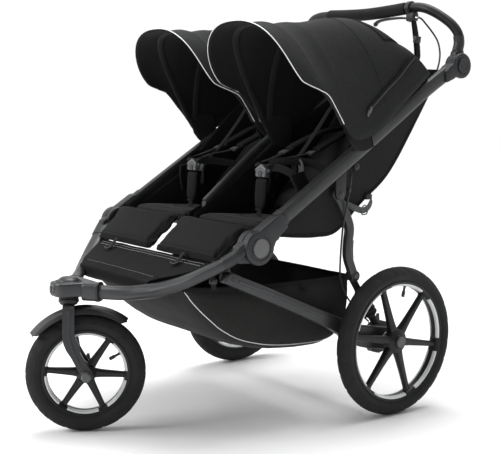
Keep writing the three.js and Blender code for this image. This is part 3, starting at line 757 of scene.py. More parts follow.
def caster():
    hub = Matrix.Translation((0, FRONT["trail"], FRONT["radius"]))
    wheel = rim_and_spokes("front_rim", FRONT["rim"], FRONT["half"], FRONT["first"],
                           hub=19, hub_half=30, valve=28.5)
    put(moved(wheel, CASTER @ hub), "front_wheel_body", ["front_wheel"], "black_plastic")
    ring_ = tyre("front_tyre_tread", FRONT["radius"], FRONT["rim"], FRONT["half"], 180, 9)
    put(moved(ring_, CASTER @ hub), "front_wheel_body", ["front_tyre"], "tyre_rubber")

    y, z = FRONT["trail"], FRONT["radius"]
    leg_outline = (
        [(-15, 318), (-16, 262), (-15.5, 246), (-13, 228), (-6, 211), (4, 196), (y - 15, z + 6)]
        + arc(y, z, 16, 158, 395, 14)
        + [(27, 205), (23, 229), (17, 240), (13.5, 252), (13, 268), (14, 318)]
    )
    leg = plate("fork_leg", leg_outline, 33, 45, METAL_DARK, 3.2, 4)
    ridge = sweep("fork_ridge", [(45, 0, 312), (45.4, 0, 250), (45.4, 7, 222), (45.2, 27, 172)],
                  rounded(3, 9, 1.4, 2), METAL_DARK, 20, side=(1, 0, 0),
                  scale=lambda s: (1, 1 - 0.45 * s))
    boss = lathe("fork_boss", [(0, 31), (15, 31), (15, 46), (13.5, 47.5), (0, 47.5)], METAL_DARK,
                 40, (0, y, z))
    crown = plate("fork_crown", [
        (-45, 300), (-33, 300), (-31, 309), (31, 309), (33, 300), (45, 300), (45, 314),
        (41, 320), (28, 322), (-28, 322), (-41, 320), (-45, 314),
    ], -15, 14, METAL_DARK, 3, 3, axis="Y")
    fork = join("fork_casting", leg, ridge, boss, copied(leg, "l2", MIRROR),
                copied(ridge, "r2", MIRROR), copied(boss, "b2", MIRROR), crown)
    put(moved(fork, CASTER), "caster", ["fork"], "black_plastic")
    cup = lathe("bearing_cup", [
        (0, 319), (20, 319), (21.5, 320.5), (22, 323), (24.5, 324.5), (25, 327), (25, 330.5),
        (23.5, 331.5), (23.5, 333), (24.5, 334), (23.5, 335.2), (0, 335.2),
    ], PLASTIC, 56, axis="Z")
    put(moved(cup, CASTER), "caster", ["steering_bearing"], "steel")
    nut = lathe("axle_cap", [
        (0, 61), (8.5, 61), (10.5, 59.6), (11.6, 57), (12, 53), (12, 47.5), (5, 47.2), (0, 47.2),
    ], HUB_GREY, 40, (0, y, z))
    hexagon = plate("axle_nut", [(y + 10 * math.cos(math.radians(60 * i)),
                                  z + 10 * math.sin(math.radians(60 * i))) for i in range(6)],
                    -56, -47, STEEL, 1, 2)
    rod = lathe("axle_rod", [(0, -59), (4, -59), (5, -58), (5, 47), (0, 47)], STEEL, 24, (0, y, z))
    lever = plate("quick_release", [(y - 6, z - 4), (y + 5, z - 6), (y + 12, z + 18), (y + 9, z + 34),
                                    (y + 2, z + 33), (y - 2, z + 14)], -60, -56, HUB_GREY, 1.5, 3)
    put(moved(join("front_axle_set", nut, hexagon, rod, lever), CASTER), "caster", ["front_axle"],
        "grey_plastic")

    # The fender: an arched strip with a raised centre ridge, turned-down lips and round ends.
    def strip(u, v):
        angle = math.radians(mix(143, 52, v))
        x = mix(-32, 32, u)
        end = min(v, 1 - v)
        narrow = 1 - 0.3 * max(0, 1 - end / 0.06) ** 2
        x *= narrow
        side = abs(x) / 32
        rise = 5.5 * math.exp(-(x / 5.5) ** 2) + 2.0 * (1 - side**2) - 9 * max(0, side - 0.82) / 0.18
        r = 160 + rise
        return (x, y + r * math.cos(angle), z + r * math.sin(angle))
    fender = thick(grid("fender_shell", strip, 34, 56, PLASTIC), 2.2, 1)
    fender = bevelled(fender, 0.6, 2, 40)
    stay = strap("fender_stay", [(30, -2, 300), (27, -2, 310), (0, -2, 311), (-27, -2, 310),
                                 (-30, -2, 300)], 12, PLASTIC, 3, side=(0, 1, 0), steps=16)
    put(moved(join("fender_shell", fender, stay), CASTER), "caster", ["fender"], "black_plastic")


# ------------------------------------------------------------------ frame
def tube_section(width, height):
    """A rounded tube with a flat side, a crease above it and a sloping top facet."""
    w, h = width / 2, height / 2
    right = [(w * 0.25, h), (w * 0.66, h * 0.9), (w * 0.92, h * 0.62), (w, h * 0.34),
             (w, -h * 0.3), (w * 0.94, -h * 0.62), (w * 0.7, -h * 0.9), (w * 0.3, -h)]
    return right[::-1] + [(-a, b) for a, b in right]


UPPER_RUN = [(-84, 531), (-30, 566), (60, 624), (171, 696), (300, 781), (420, 861), (497, 906)]
FRONT_RUN = [(65, -416, 354), (100, -396, 355), (130, -377, 357), (160, -355, 362),
             (190, -332, 369), (220, -306, 381), (250, -277, 397), (280, -244, 419),
             (306, -214, 440), (325, -190, 461)]


def head_block():
    plan = ([(-38, -409), (-54, -426), (-40, -462), (-32, -494)]
            + [(-26, -504), (-14, -509), (14, -509), (26, -504)]
            + [(32, -494), (40, -462), (54, -426), (38, -409)])
    body = plate("head_body", plan, 341, 376, METAL, 6, 5, axis="Z")
    dome = lathe("head_dome", [(0, 388), (10, 387.8), (18, 386), (24, 381.5), (28.5, 376),
                               (30, 370), (0, 370)], METAL, 56, (0, STEER_Y, 0), "Z")
    ring_ = lathe("head_ring", [(29, 374), (32.5, 374), (33, 376.5), (31, 378), (29, 378)],
                  METAL_DARK, 56, (0, STEER_Y, 0), "Z", closed=True)
    cup = lathe("head_cup", [(0, 336), (24, 336), (26, 337.5), (27.5, 341), (29, 345), (0, 346)],
                METAL_DARK, 56, (0, STEER_Y, 0), "Z")
    collar = sweep("collar", [(32, -441, 354), (66, -415, 354)], rounded(38, 45, 12, 5), METAL, 6,
                   side=(0.6, 0.8, 0))
    collar = bevelled(collar, 1.5, 2, 40)
    lip = sweep("collar_lip", [(60, -419.6, 354), (66, -415, 354)], rounded(40.5, 47, 13, 5),
                METAL_DARK, 3, side=(0.6, 0.8, 0))
    lip = bevelled(lip, 1, 2, 40)
    pieces = [body, dome, ring_, cup, collar, lip, copied(collar, "c2", MIRROR),
              copied(lip, "p2", MIRROR)]
    put(join("head_casting", *pieces), "chassis", ["head_block"], "frame_metal")
    knob = lathe("lock_knob", [(0, -504), (9.5, -504), (10.8, -505.5), (10.8, -510), (9.6, -512.4),
                               (7, -513.4), (0, -513.4)], HUB_GREY, 40, (0, 0, 360), "Y")
    wing = plate("lock_wing", [(-3, 351), (3, 351), (3.6, 360), (3, 369), (-3, 369), (-3.6, 360)],
                 -517, -511, HUB_GREY, 1.2, 3, axis="Y")
    put(join("swivel_lock_knob", knob, wing), "lock_knob", ["swivel_lock"], "grey_plastic")


def hinge_disc(name, cy, cz, x0, x1, radius, mat, step=3.0):
    """A round hinge cheek with a chamfered rim and a shallow step."""
    flip = 1 if x1 > x0 else -1
    return lathe(name, [
        (0, x0), (radius - 2, x0), (radius, x0 + 2 * flip), (radius, x1 - 3 * flip),
        (radius - 2.2, x1 - 0.8 * flip), (radius - 4.5, x1), (radius - 11, x1),
        (radius - 12, x1 - 0.4 * step * flip), (0, x1 - 0.4 * step * flip),
    ], mat, 72, (0, cy, cz))


def front_frame():
    section = tube_section(28, 34)
    tube = sweep("front_tube", FRONT_RUN, section, METAL, 60, side=(0.6, 0.8, 0),
                 sides=None, scale=lambda s: (1, 1 + 0.16 * max(0, s - 0.45) / 0.55))
    sleeve = sweep("front_sleeve", [(302, -219, 436.5), (314, -204, 449), (325, -188, 462),
                                    (328, -172, 472)],
                   [(a * 1.1, b * 1.25) for a, b in section], METAL_DARK, 14, side=(0.6, 0.8, 0))
    sleeve = bevelled(sleeve, 1.2, 2, 40)
    casting = plate("front_cheek", [(-202, 440), (-170, 438), (-142, 450), (-138, 494),
                                    (-158, 505), (-202, 479)], 311, 340, METAL_DARK, 5, 4)
    disc = hinge_disc("front_disc", *FOLD, 327.6, 307, 41, METAL_DARK)
    lug = plate("arm_lug", arc(-205, 402, 15, 190, 350, 12) + [(-198, 436), (-224, 436)],
                284.4, 297.4, METAL_DARK, 2, 3)
    pin = lathe("arm_pin", [(0, 323), (5, 323), (6, 322), (6, 291), (0, 291)], METAL_DARK, 28,
                (0, *ARM))
    seat_lug = plate("seat_lug", [(-224, 411), (-204, 411), (-206, 448), (-232, 442)], 271, 296,
                     METAL_DARK, 2, 2)
    put_pair(join("front_side", tube, sleeve, casting, disc, lug, pin, seat_lug),
             "front_side", "chassis", ["front_frame_{s}"], "frame_metal")
    bar = lathe("front_bar", [(0, -270), (9, -270), (9, 270), (0, 270)], METAL_DARK, 32,
                (0, -214, 421))
    put(bar, "chassis", ["seat_front_tube"], "frame_metal")


def upper_frame():
    section = tube_section(28, 38)
    run = [(TUBE_X, y, z) for y, z in UPPER_RUN]
    tube = sweep("upper_tube", run, section, METAL, 44, side=(1, 0, 0))
    low = sweep("upper_sleeve", [(TUBE_X, -116, 510.5), (TUBE_X, -84, 531), (TUBE_X, -62, 545.3)],
                [(a * 1.12, b * 1.1) for a, b in section], METAL_DARK, 10, side=(1, 0, 0))
    low = bevelled(low, 1.2, 2, 40)
    cheek = plate("upper_cheek", [(-186, 468), (-185, 488), (-173, 500), (-96, 550), (-78, 551),
                                  (-60, 521), (-82, 503), (-98, 486), (-106, 468)],
                  317, 350.5, METAL_DARK, 6, 5)
    disc = hinge_disc("upper_disc", *FOLD, 328.6, 352, 41, METAL_DARK)
    groove = lathe("disc_groove", [(24.6, 349.7), (27, 349.7), (27, 351), (24.6, 351)], PLASTIC,
                   72, (0, *FOLD), closed=True)
    cap = lathe("hinge_badge", [(0, 350), (22.6, 350), (23, 351), (22.4, 354.6), (21, 355.8),
                                (19, 355.9), (18.4, 355.3), (10, 355.7), (0, 355.9)], BADGE, 64,
                (0, *FOLD))
    put_pair(cap, "hinge_badge", "upper", ["hinge_cap_{s}"], "grey_plastic")
    bracket = plate("leg_bracket", [(99, 588), (104, 579), (114, 575), (124, 579), (130, 590),
                                    (132, 650), (98, 628)], 329, 338.5, METAL_DARK, 3, 4)
    rivet = lathe("leg_rivet", [(0, 341.5), (5, 341.2), (8.5, 339.6), (9.4, 338), (5, 338),
                                (5, 303), (0, 303)], PLASTIC, 40, (0, *LEG_TOP))
    end = plate("tilt_cheek", [(474, 876), (500, 886), (524, 900), (528, 930), (508, 934),
                               (484, 921), (470, 905)], 317, 351, METAL_DARK, 4, 3)
    housing = lathe("tilt_housing", [
        (0, 340), (32, 340), (34, 342), (34, 349), (32.4, 351.4), (30, 352), (23, 352),
        (21.5, 350.6), (0, 350.6)], METAL_DARK, 72, (0, *PIVOT))
    put_pair(join("upper_side", tube, low, cheek, disc, groove, bracket, rivet, end,
                  housing),
             "upper_side", "upper", ["upper_frame_{s}"], "frame_metal")
    button = lathe("tilt_button", [(0, 349), (19.8, 349), (20, 350), (19.6, 354.4), (18.2, 355.7),
                                   (15, 355.9), (13.8, 355), (0, 355)], METAL_DARK, 64, (0, *PIVOT))
    put_pair(button, "tilt_button", "tilt_button_{s}", ["handle_button_{s}"], "grey_plastic")
    beam_run = [(0, -62, 549), (0, 20, 617), (0, 114, 692), (0, 240, 778), (0, 360, 848),
                (0, 438, 886)]
    beam = sweep("beam_tube", beam_run, tube_section(20, 28), METAL, 36, side=(1, 0, 0))
    foot = plate("beam_foot", [(-78, 496), (-54, 496), (-40, 548), (-44, 572), (-70, 554)], -9, 9,
                 METAL_DARK, 3, 3)
    cross = lathe("beam_cross", [(0, -306), (12, -306), (12, 306), (0, 306)], METAL_DARK, 36,
                  (0, -66, 494))
    put(join("middle_beam", beam, foot, cross), "upper", ["centre_beam"], "frame_metal")
    bar = lathe("rear_bar", [(0, -314), (11, -314), (11, 314), (0, 314)], METAL_DARK, 36,
                (0, 453, 880))
    put(bar, "upper", ["top_cross_bar"], "frame_metal")


def swing_arms():
    top = curve([(-196, 413), (-120, 381), (0, 330), (120, 279), (200, 247), (296, 229)], 24)
    low = curve([(300, 168), (240, 178), (190, 194), (110, 243), (0, 295), (-120, 348),
                 (-214, 389)], 24)
    outline = ([tuple(p) for p in top] + arc(304, 197, 30, 80, -92, 10) + [tuple(p) for p in low[2:]]
               + [(-232, 396)] + arc(-205, 402, 16, 140, 90, 4))
    blade = plate("arm_blade", outline, 298, 322, METAL, 4.5, 4)
    shoulder = sweep("arm_shoulder", [(322, -188, 396), (322, -60, 344), (322, 60, 292),
                                      (322, 190, 236)],
                     rounded(3, 7, 1.4, 2), METAL, 20, side=(1, 0, 0))
    stub = lathe("arm_stub", [(0, 367), (7, 367), (8, 366), (8, 326), (16, 326), (19, 322),
                              (19, 318), (0, 318)], STEEL, 36, (0, REAR["y"], REAR["z"]))
    put_pair(join("arm_casting", blade, shoulder, stub), "arm_casting", "arms",
             ["lower_bar_{s}"], "frame_metal")
    y, z = REAR["y"], REAR["z"]
    axle = lathe("axle_tube", [(0, -269), (13, -269), (13, 269), (0, 269)], METAL_DARK, 40, (0, y, z))
    put(axle, "arms", ["rear_axle_tube"], "frame_metal")
    drum = lathe("drum", [(0, 269.5), (28, 269.5), (31, 271), (40, 272), (42.5, 274), (44, 277),
                          (44, 281), (42.4, 282), (42.4, 285), (44, 286), (44, 294),
                          (42, 297), (0, 297)], PLASTIC, 72, (0, y, z))
    cams = [plate(f"drum_rib{i}", [(0, -1.6), (13, -1.2), (13, 1.2), (0, 1.6)], 272, 296, PLASTIC,
                  0.6, 2) for i in range(12)]
    for i, rib in enumerate(cams):
        moved(rib, Matrix.Translation((0, y, z)) @ Matrix.Rotation(math.radians(30 * i), 4, "X")
              @ Matrix.Translation((0, 32, 0)))
    lever = plate("drum_lever", [(y - 8, z + 30), (y + 8, z + 30), (y + 5, z + 62),
                                 (y - 4, z + 62)], 282, 287, HUB_GREY, 1.5, 2)
    put_pair(join("drum_body", drum, lever, *cams), "drum_body", "arms", ["brake_drum_{s}"],
             "black_plastic")

    start, end = Vector((306, *KNEE)), Vector((304, 276, 240))
    length = (end - start).length
    profile = [(0, 0), (9, 0), (9.5, length * 0.3), (12.5, length * 0.34)]
    for i in range(6):
        base = length * (0.37 + 0.075 * i)
        profile += [(14, base), (17, base + length * 0.012), (20, base + length * 0.03),
                    (20, base + length * 0.04), (17, base + length * 0.058),
                    (14, base + length * 0.07)]
    profile += [(12, length * 0.84), (10, length * 0.88), (10, length), (0, length)]
    boot = lathe("strut_boot", profile, BOOT, 48, axis="Z", sharp=60)
    turn = Vector((0, 0, 1)).rotation_difference(end - start).to_matrix().to_4x4()
    moved(boot, Matrix.Translation(start) @ turn)
    eye = lathe("strut_eye", [(0, 299.5), (12.5, 299.5), (14, 301), (14, 311.5), (12.5, 313),
                              (0, 313)], BOOT, 40, (0, *KNEE))
    put_pair(join("strut_body", boot, eye), "strut_body", "arms", ["suspension_strut_{s}"],
             "boot_rubber")
    hub = lathe("pedal_hub", [(13.4, 60), (17, 60), (18, 61.5), (18, 94.5), (17, 96), (13.4, 96)],
                PLASTIC, 40, (0, y, z), closed=True)
    tread = plate("pedal_tread", [(y + 14, z - 5), (y + 40, z - 1), (y + 62, z + 7), (y + 62, z + 12),
                                  (y + 40, z + 8), (y + 14, z + 7)], 52, 104, PLASTIC, 2, 3)
    ribs = []
    for i in range(4):
        ry, rz = y + 34 + 7 * i, z + 6 + 1.4 * i
        section = [(ry, rz), (ry + 3, rz + 0.8), (ry + 3, rz + 3.4), (ry, rz + 2.8)]
        ribs.append(plate(f"pedal_rib{i}", section, 57, 99, HUB_GREY, 0.7, 2))
    put(join("pedal_set", hub, tread, *ribs), "pedal", ["brake_pedal"], "black_plastic")


def rear_legs():
    leg = sweep("leg_tube", [(317, *LEG_TOP), (317, 142, 548), (317, 163, 502), (317, 160, 466),
                             (317, 160, 430), (317, 172, 398), (317, *KNEE)],
                tube_section(20, 25), METAL, 44, side=(1, 0, 0))
    top = lathe("leg_eye", [(0, 307), (13.4, 307), (15, 308.5), (15, 325.5), (13.4, 327),
                            (0, 327)], METAL, 44, (0, *LEG_TOP))
    knee = lathe("leg_knee", [(0, 313.8), (12.5, 313.8), (14, 315), (14, 325.8), (12.4, 327.4),
                              (0, 327.4)], METAL_DARK, 44, (0, *KNEE))
    bolt = lathe("leg_bolt", [(0, 331), (5, 330.6), (7, 329), (7, 327), (0, 327)], HUB_GREY, 32,
                 (0, *KNEE))
    bumper = sweep("leg_bumper", [(317, 171, 470), (317, 170, 444), (317, 172, 420)],
                   rounded(14, 9, 3, 3), BOOT, 10, side=(1, 0, 0))
    bumper = bevelled(bumper, 1.2, 2, 40)
    put_pair(join("leg_set", leg, top, knee, bolt, bumper), "leg_set", "legs",
             ["rear_leg_{s}"], "frame_metal")


# ------------------------------------------------------------------ handlebar
GRIP_RUN = [(162, 503, 1086.5), (90, 503, 1082.5), (0, 503, 1080), (-90, 503, 1082.5),
            (-162, 503, 1086.5)]
HANDLE_RUN = [(326, 533, 952), (327, 540, 982), (325, 538, 1008), (309, 531, 1033),
              (274, 517, 1061), (240, 505, 1079), (208, 503, 1086), (180, 503, 1087)]


def handlebar():
    whole = HANDLE_RUN + GRIP_RUN + [(-x, y, z) for x, y, z in HANDLE_RUN[::-1]]
    bar = sweep("bar", whole, ring(13, 28), BAR_COAT, 150)
    neck = plate("bar_neck", [(512, 905), (550, 905), (552, 930), (552, 955), (549, 970),
                              (520, 964), (517, 950), (512, 930)], 313.5, 338.5, METAL_DARK, 6, 4)
    hub = lathe("bar_hub", [(0, 313), (28, 313), (31, 315.5), (31, 337), (29, 339.2), (0, 339.2)],
                METAL_DARK, 64, (0, *PIVOT))
    sock = sweep("bar_sock", [(326, 535, 962), (327, 540, 984), (325.4, 538.6, 1004)],
                 ring(14.6, 28), PLASTIC, 10)
    pieces = [bar]
    for piece in (neck, hub, sock):
        pieces += [piece, copied(piece, piece.name + "_b", MIRROR)]
    put(join("push_bar", *pieces), "handle", ["handlebar"], "black_plastic")

    def swell(s):
        end = min(s, 1 - s)
        fat = 0.9 + 0.1 * min(1, end / 0.02)
        groove = 0.035 * math.exp(-((end - 0.035) / 0.006) ** 2)
        return (fat - groove, fat - groove)
    grip = sweep("grip", GRIP_RUN, ring(17, 40), FOAM, 160, side=(0, 1, 0), scale=swell)
    seam = strap("grip_seam", [(x, y, z - 17) for x, y, z in GRIP_RUN], 2.2, DARK_THREAD, 1.0,
                 side=(0, 1, 0), steps=60)
    put(join("grip_sleeve", grip, seam), "handle", ["handle_grip"], "grip_foam")


def hand_brake():
    z = 1087
    clamp = lathe("clamp", [(13.6, 169.5), (17, 169.5), (18, 171), (18, 183), (17, 184.5),
                            (13.6, 184.5)], PLASTIC, 48, (0, 503, z), closed=True)
    body = plate("perch_body", [(492, z - 38), (513, z - 38), (515, z - 20), (511, z - 12),
                                (495, z - 12), (491, z - 20)], 171, 199, PLASTIC, 3, 3)
    barrel = lathe("barrel", [(0, 198), (4.5, 198), (4.5, 204), (3.4, 206), (3.4, 211), (0, 211)],
                   STEEL, 28, (0, 503, z - 29))
    pivot = lathe("lever_pivot", [(0, z - 40), (4, z - 40), (4, z - 8), (0, z - 8)], STEEL, 24,
                  (176, 503, 0), "Z")
    put(join("brake_clamp", clamp, body, barrel, pivot), "handle", ["brake_perch"],
        "black_plastic")
    blade = sweep("blade", [(178, 503, 1056), (150, 501, 1060), (110, 499, 1060.5),
                            (74, 499.5, 1059), (52, 501, 1055.5), (41, 502, 1050)],
                  rounded(13, 6, 2.6, 4), PLASTIC, 44, side=(0, 1, 0),
                  scale=lambda s: (1 - 0.18 * math.sin(math.pi * s), 1 + 0.25 * s))
    tip = lathe("tip", [(0, -6), (4, -5.4), (6, -3.4), (6.8, 0), (6, 3.4), (4, 5.4), (0, 6)],
                PLASTIC, 28, (40.5, 502, 1049), "Y")
    put(join("brake_blade", blade, tip), "lever", ["brake_lever"], "grey_plastic")

    # The wrist strap: a hanging loop of webbing with a slider.
    loop = [(188, 503, 1058), (191, 503, 1040), (197, 503, 1010), (203, 503, 975), (206, 503, 950),
            (209.5, 503, 940.5), (213, 503, 950), (211, 503, 975), (204, 503, 1010),
            (196, 503, 1040), (190, 503, 1058)]
    band = strap("wrist_band", loop, 16, WEBBING, 1.8, side=(0, 1, 0), steps=80)
    slider = plate("wrist_slider", [(199, 990), (211, 988), (213, 1006), (201, 1008)], 493, 513,
                   PLASTIC, 1.6, 3, axis="Y")
    put(join("wrist_loop", band, slider), "handle", ["wrist_strap"], "seat_cloth")


def tube_cord(name, points, diameter, mat, steps=60):
    line = curve(points, steps)
    return sweep(name, line, ring(diameter / 2, 12), mat, steps, straight=True, sharp=0), line


def cables():
    points = [(208, 503, 1058), (216, 506, 1055), (228, 513, 1040), (243, 523, 1018),
              (260, 528, 992), (276, 521, 962), (290, 505, 936), (299, 489, 914),
              (304, 478, 900)]
    wire, line = tube_cord("front_cable", points, 5, PLASTIC)
    put(wire, "handle", ["brake_cable"], "black_plastic",
        blend=("upper", "handle", (0.30, 0.486, 0.908), (0.262, 0.526, 0.985)))
    length_of(line) * MM
    [tuple(p * MM) for p in line]
    points = [(333, 152, 640), (333, 147, 600), (333, 137, 555), (332.5, 128, 510),
              (331, 125, 465), (323, 130, 420), (306, 146, 380), (291, 170, 340),
              (283, 205, 300), (282, 240, 267), (283, 272, 241)]
    wire, line = tube_cord("rear_cable", points, 5, PLASTIC, 80)
    put(wire, "legs", ["brake_cable_rear"], "black_plastic")
    length_of(line) * MM
    [tuple(p * MM) for p in line]
    clip = sweep("cable_clip", [(333, 146, 606), (333, 144, 594)], rounded(9, 9, 3, 3), PLASTIC, 3,
                 side=(1, 0, 0))
    put(bevelled(clip, 0.8, 2, 40), "legs", (), "black_plastic")


# ------------------------------------------------------------------ cloth
def puffed(obj, cap, voxel=5.5, pressure=4.0, frames=20):
    """Swells a pad by cloth simulation, moving no point further than cap millimetres."""
    with_modifier(obj, "REMESH", mode="VOXEL", voxel_size=voxel * MM)
    start = np.zeros(len(obj.data.vertices) * 3)
    obj.data.vertices.foreach_get("co", start)
    start = start.reshape(-1, 3)
    modifier = obj.modifiers.new("cloth", "CLOTH")
    settings = modifier.settings
    settings.use_pressure = True
    settings.uniform_pressure_force = pressure
    settings.quality = 4
    settings.mass = 0.3
    settings.tension_stiffness = 20
    settings.compression_stiffness = 20
    settings.shear_stiffness = 8
    settings.bending_stiffness = 0.4
    settings.effector_weights.gravity = 0
    modifier.point_cache.frame_start = 1
    modifier.point_cache.frame_end = frames
    for number in range(1, frames + 1):
        scene.frame_set(number)
    bake(obj)
    scene.frame_set(1)
    end = np.zeros(len(obj.data.vertices) * 3)
    obj.data.vertices.foreach_get("co", end)
    end = end.reshape(-1, 3)
    step = end - start
    size = np.linalg.norm(step, axis=1)[:, None]
    limit = cap * MM
    end = start + step * np.minimum(1, limit / np.maximum(size, 1e-9))
    obj.data.vertices.foreach_set("co", end.ravel())
    obj.data.update()
    obj.data.polygons.foreach_set("use_smooth", [True] * len(obj.data.polygons))
    return obj


def pressed(obj, depth_at):
    """Moves each vertex against its normal by depth_at(x, y, z) millimetres: seams, channels."""
    mesh = obj.data
    normals = [v.normal.copy() for v in mesh.vertices]
    for vertex, normal in zip(mesh.vertices, normals):
        p = vertex.co / MM
        depth = depth_at(p.x, p.y, p.z)
        if depth:
            vertex.co -= normal * depth * MM
    mesh.update()
    return obj


def stitches(name, points, mat, pitch=5.0, length=3.2, width=0.9, side=(1, 0, 0), lift=0.5):
    """A row of separate thread stitches along a line on a surface."""
    run = length_of(points)
    count = max(2, int(run / pitch))
    line = curve(points, count * 2)
    verts, faces = [], []
    section = [(1, 0), (0.5, 0.8), (-0.5, 0.8), (-1, 0), (-0.5, -0.5), (0.5, -0.5)]
    for k in range(count):
        a, b = line[2 * k], line[2 * k + 1]
        forward = unit(b - a)
        across = unit(np.array(side, float) - forward * np.dot(side, forward))
        up = np.cross(across, forward)
        up = up if up[2] >= 0 else -up
        middle = (a + b) / 2 + up * lift
        base = len(verts)
        for s, fat in ((-0.5, 0.35), (-0.3, 1), (0.3, 1), (0.5, 0.35)):
            verts += [middle + forward * s * length + (across * p + up * q) * width / 2 * fat
                      for p, q in section]
        for r in range(3):
            faces += [(base + r * 6 + j, base + r * 6 + (j + 1) % 6,
                       base + r * 6 + 6 + (j + 1) % 6, base + r * 6 + 6 + j) for j in range(6)]
        faces += [tuple(base + j for j in range(6))[::-1], tuple(base + 18 + j for j in range(6))]
    return outward(make(name, verts, faces, mat))


def piping(name, points, mat, radius=1.8, steps=80):
    return sweep(name, points, ring(radius, 10), mat, steps, sharp=0)


# ------------------------------------------------------------------ seats
def seat_bases():
    def place(u, v, w):
        x = mix(SEAT_IN + 6, SEAT_OUT - 6, u)
        y = mix(-122, 112, v)
        across, down = 2 * u - 1, 2 * v - 1
        dip = -7 * math.sin(math.pi * u) * math.sin(math.pi * v)
        crown = 5 * (1 - across**4) * (1 - down**4)
        z = mix(516, 524, w) + dip + (crown if w else -crown) - 14 * v
        return (x, y, z)
    pad = puffed(cushion("seat_pad", place, 20, 16, SEAT_CLOTH), 6)
    middle = SEAT_MID

    def seams(x, y, z):
        if z < 505:
            return 0
        bowl = abs(math.hypot((x - middle) / 1.15, (y - 40) * 1.35) - 92)
        roll = abs(y + 92)
        deep = 3.2 * math.exp(-((bowl / 3.2) ** 2)) if y < 70 else 0
        return deep + 3.4 * math.exp(-((roll / 3) ** 2))
    pad = pressed(subdivided(pad), seams)
    for piece in put_pair(pad, "seat_pad", "upper", ["seat_base_{s}"], "seat_cloth"):
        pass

    # The hammock cloth that carries the pad, wrapped round the front cross tube.
    def sling(u, v):
        x = mix(SEAT_IN - 4, 314, u)
        y, z = smooth_along([(-82, 507), (-78, 497), (-50, 493), (0, 494), (60, 492), (108, 492),
                             (124, 500)], v)
        sag = 6 * math.sin(math.pi * u) * math.sin(math.pi * min(1, v * 1.1))
        return (x, y, z - sag + wobble(x, y, z, 55, 2.0))
    hammock = thick(grid("seat_sling", sling, 26, 24, SIDE_CLOTH), 1.6)
    for piece in put_pair(hammock, "seat_sling", "upper", (), "seat_cloth"):
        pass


BACK_FRONT = [(130, 530), (168, 568), (232, 620), (276, 670), (318, 732), (412, 848)]


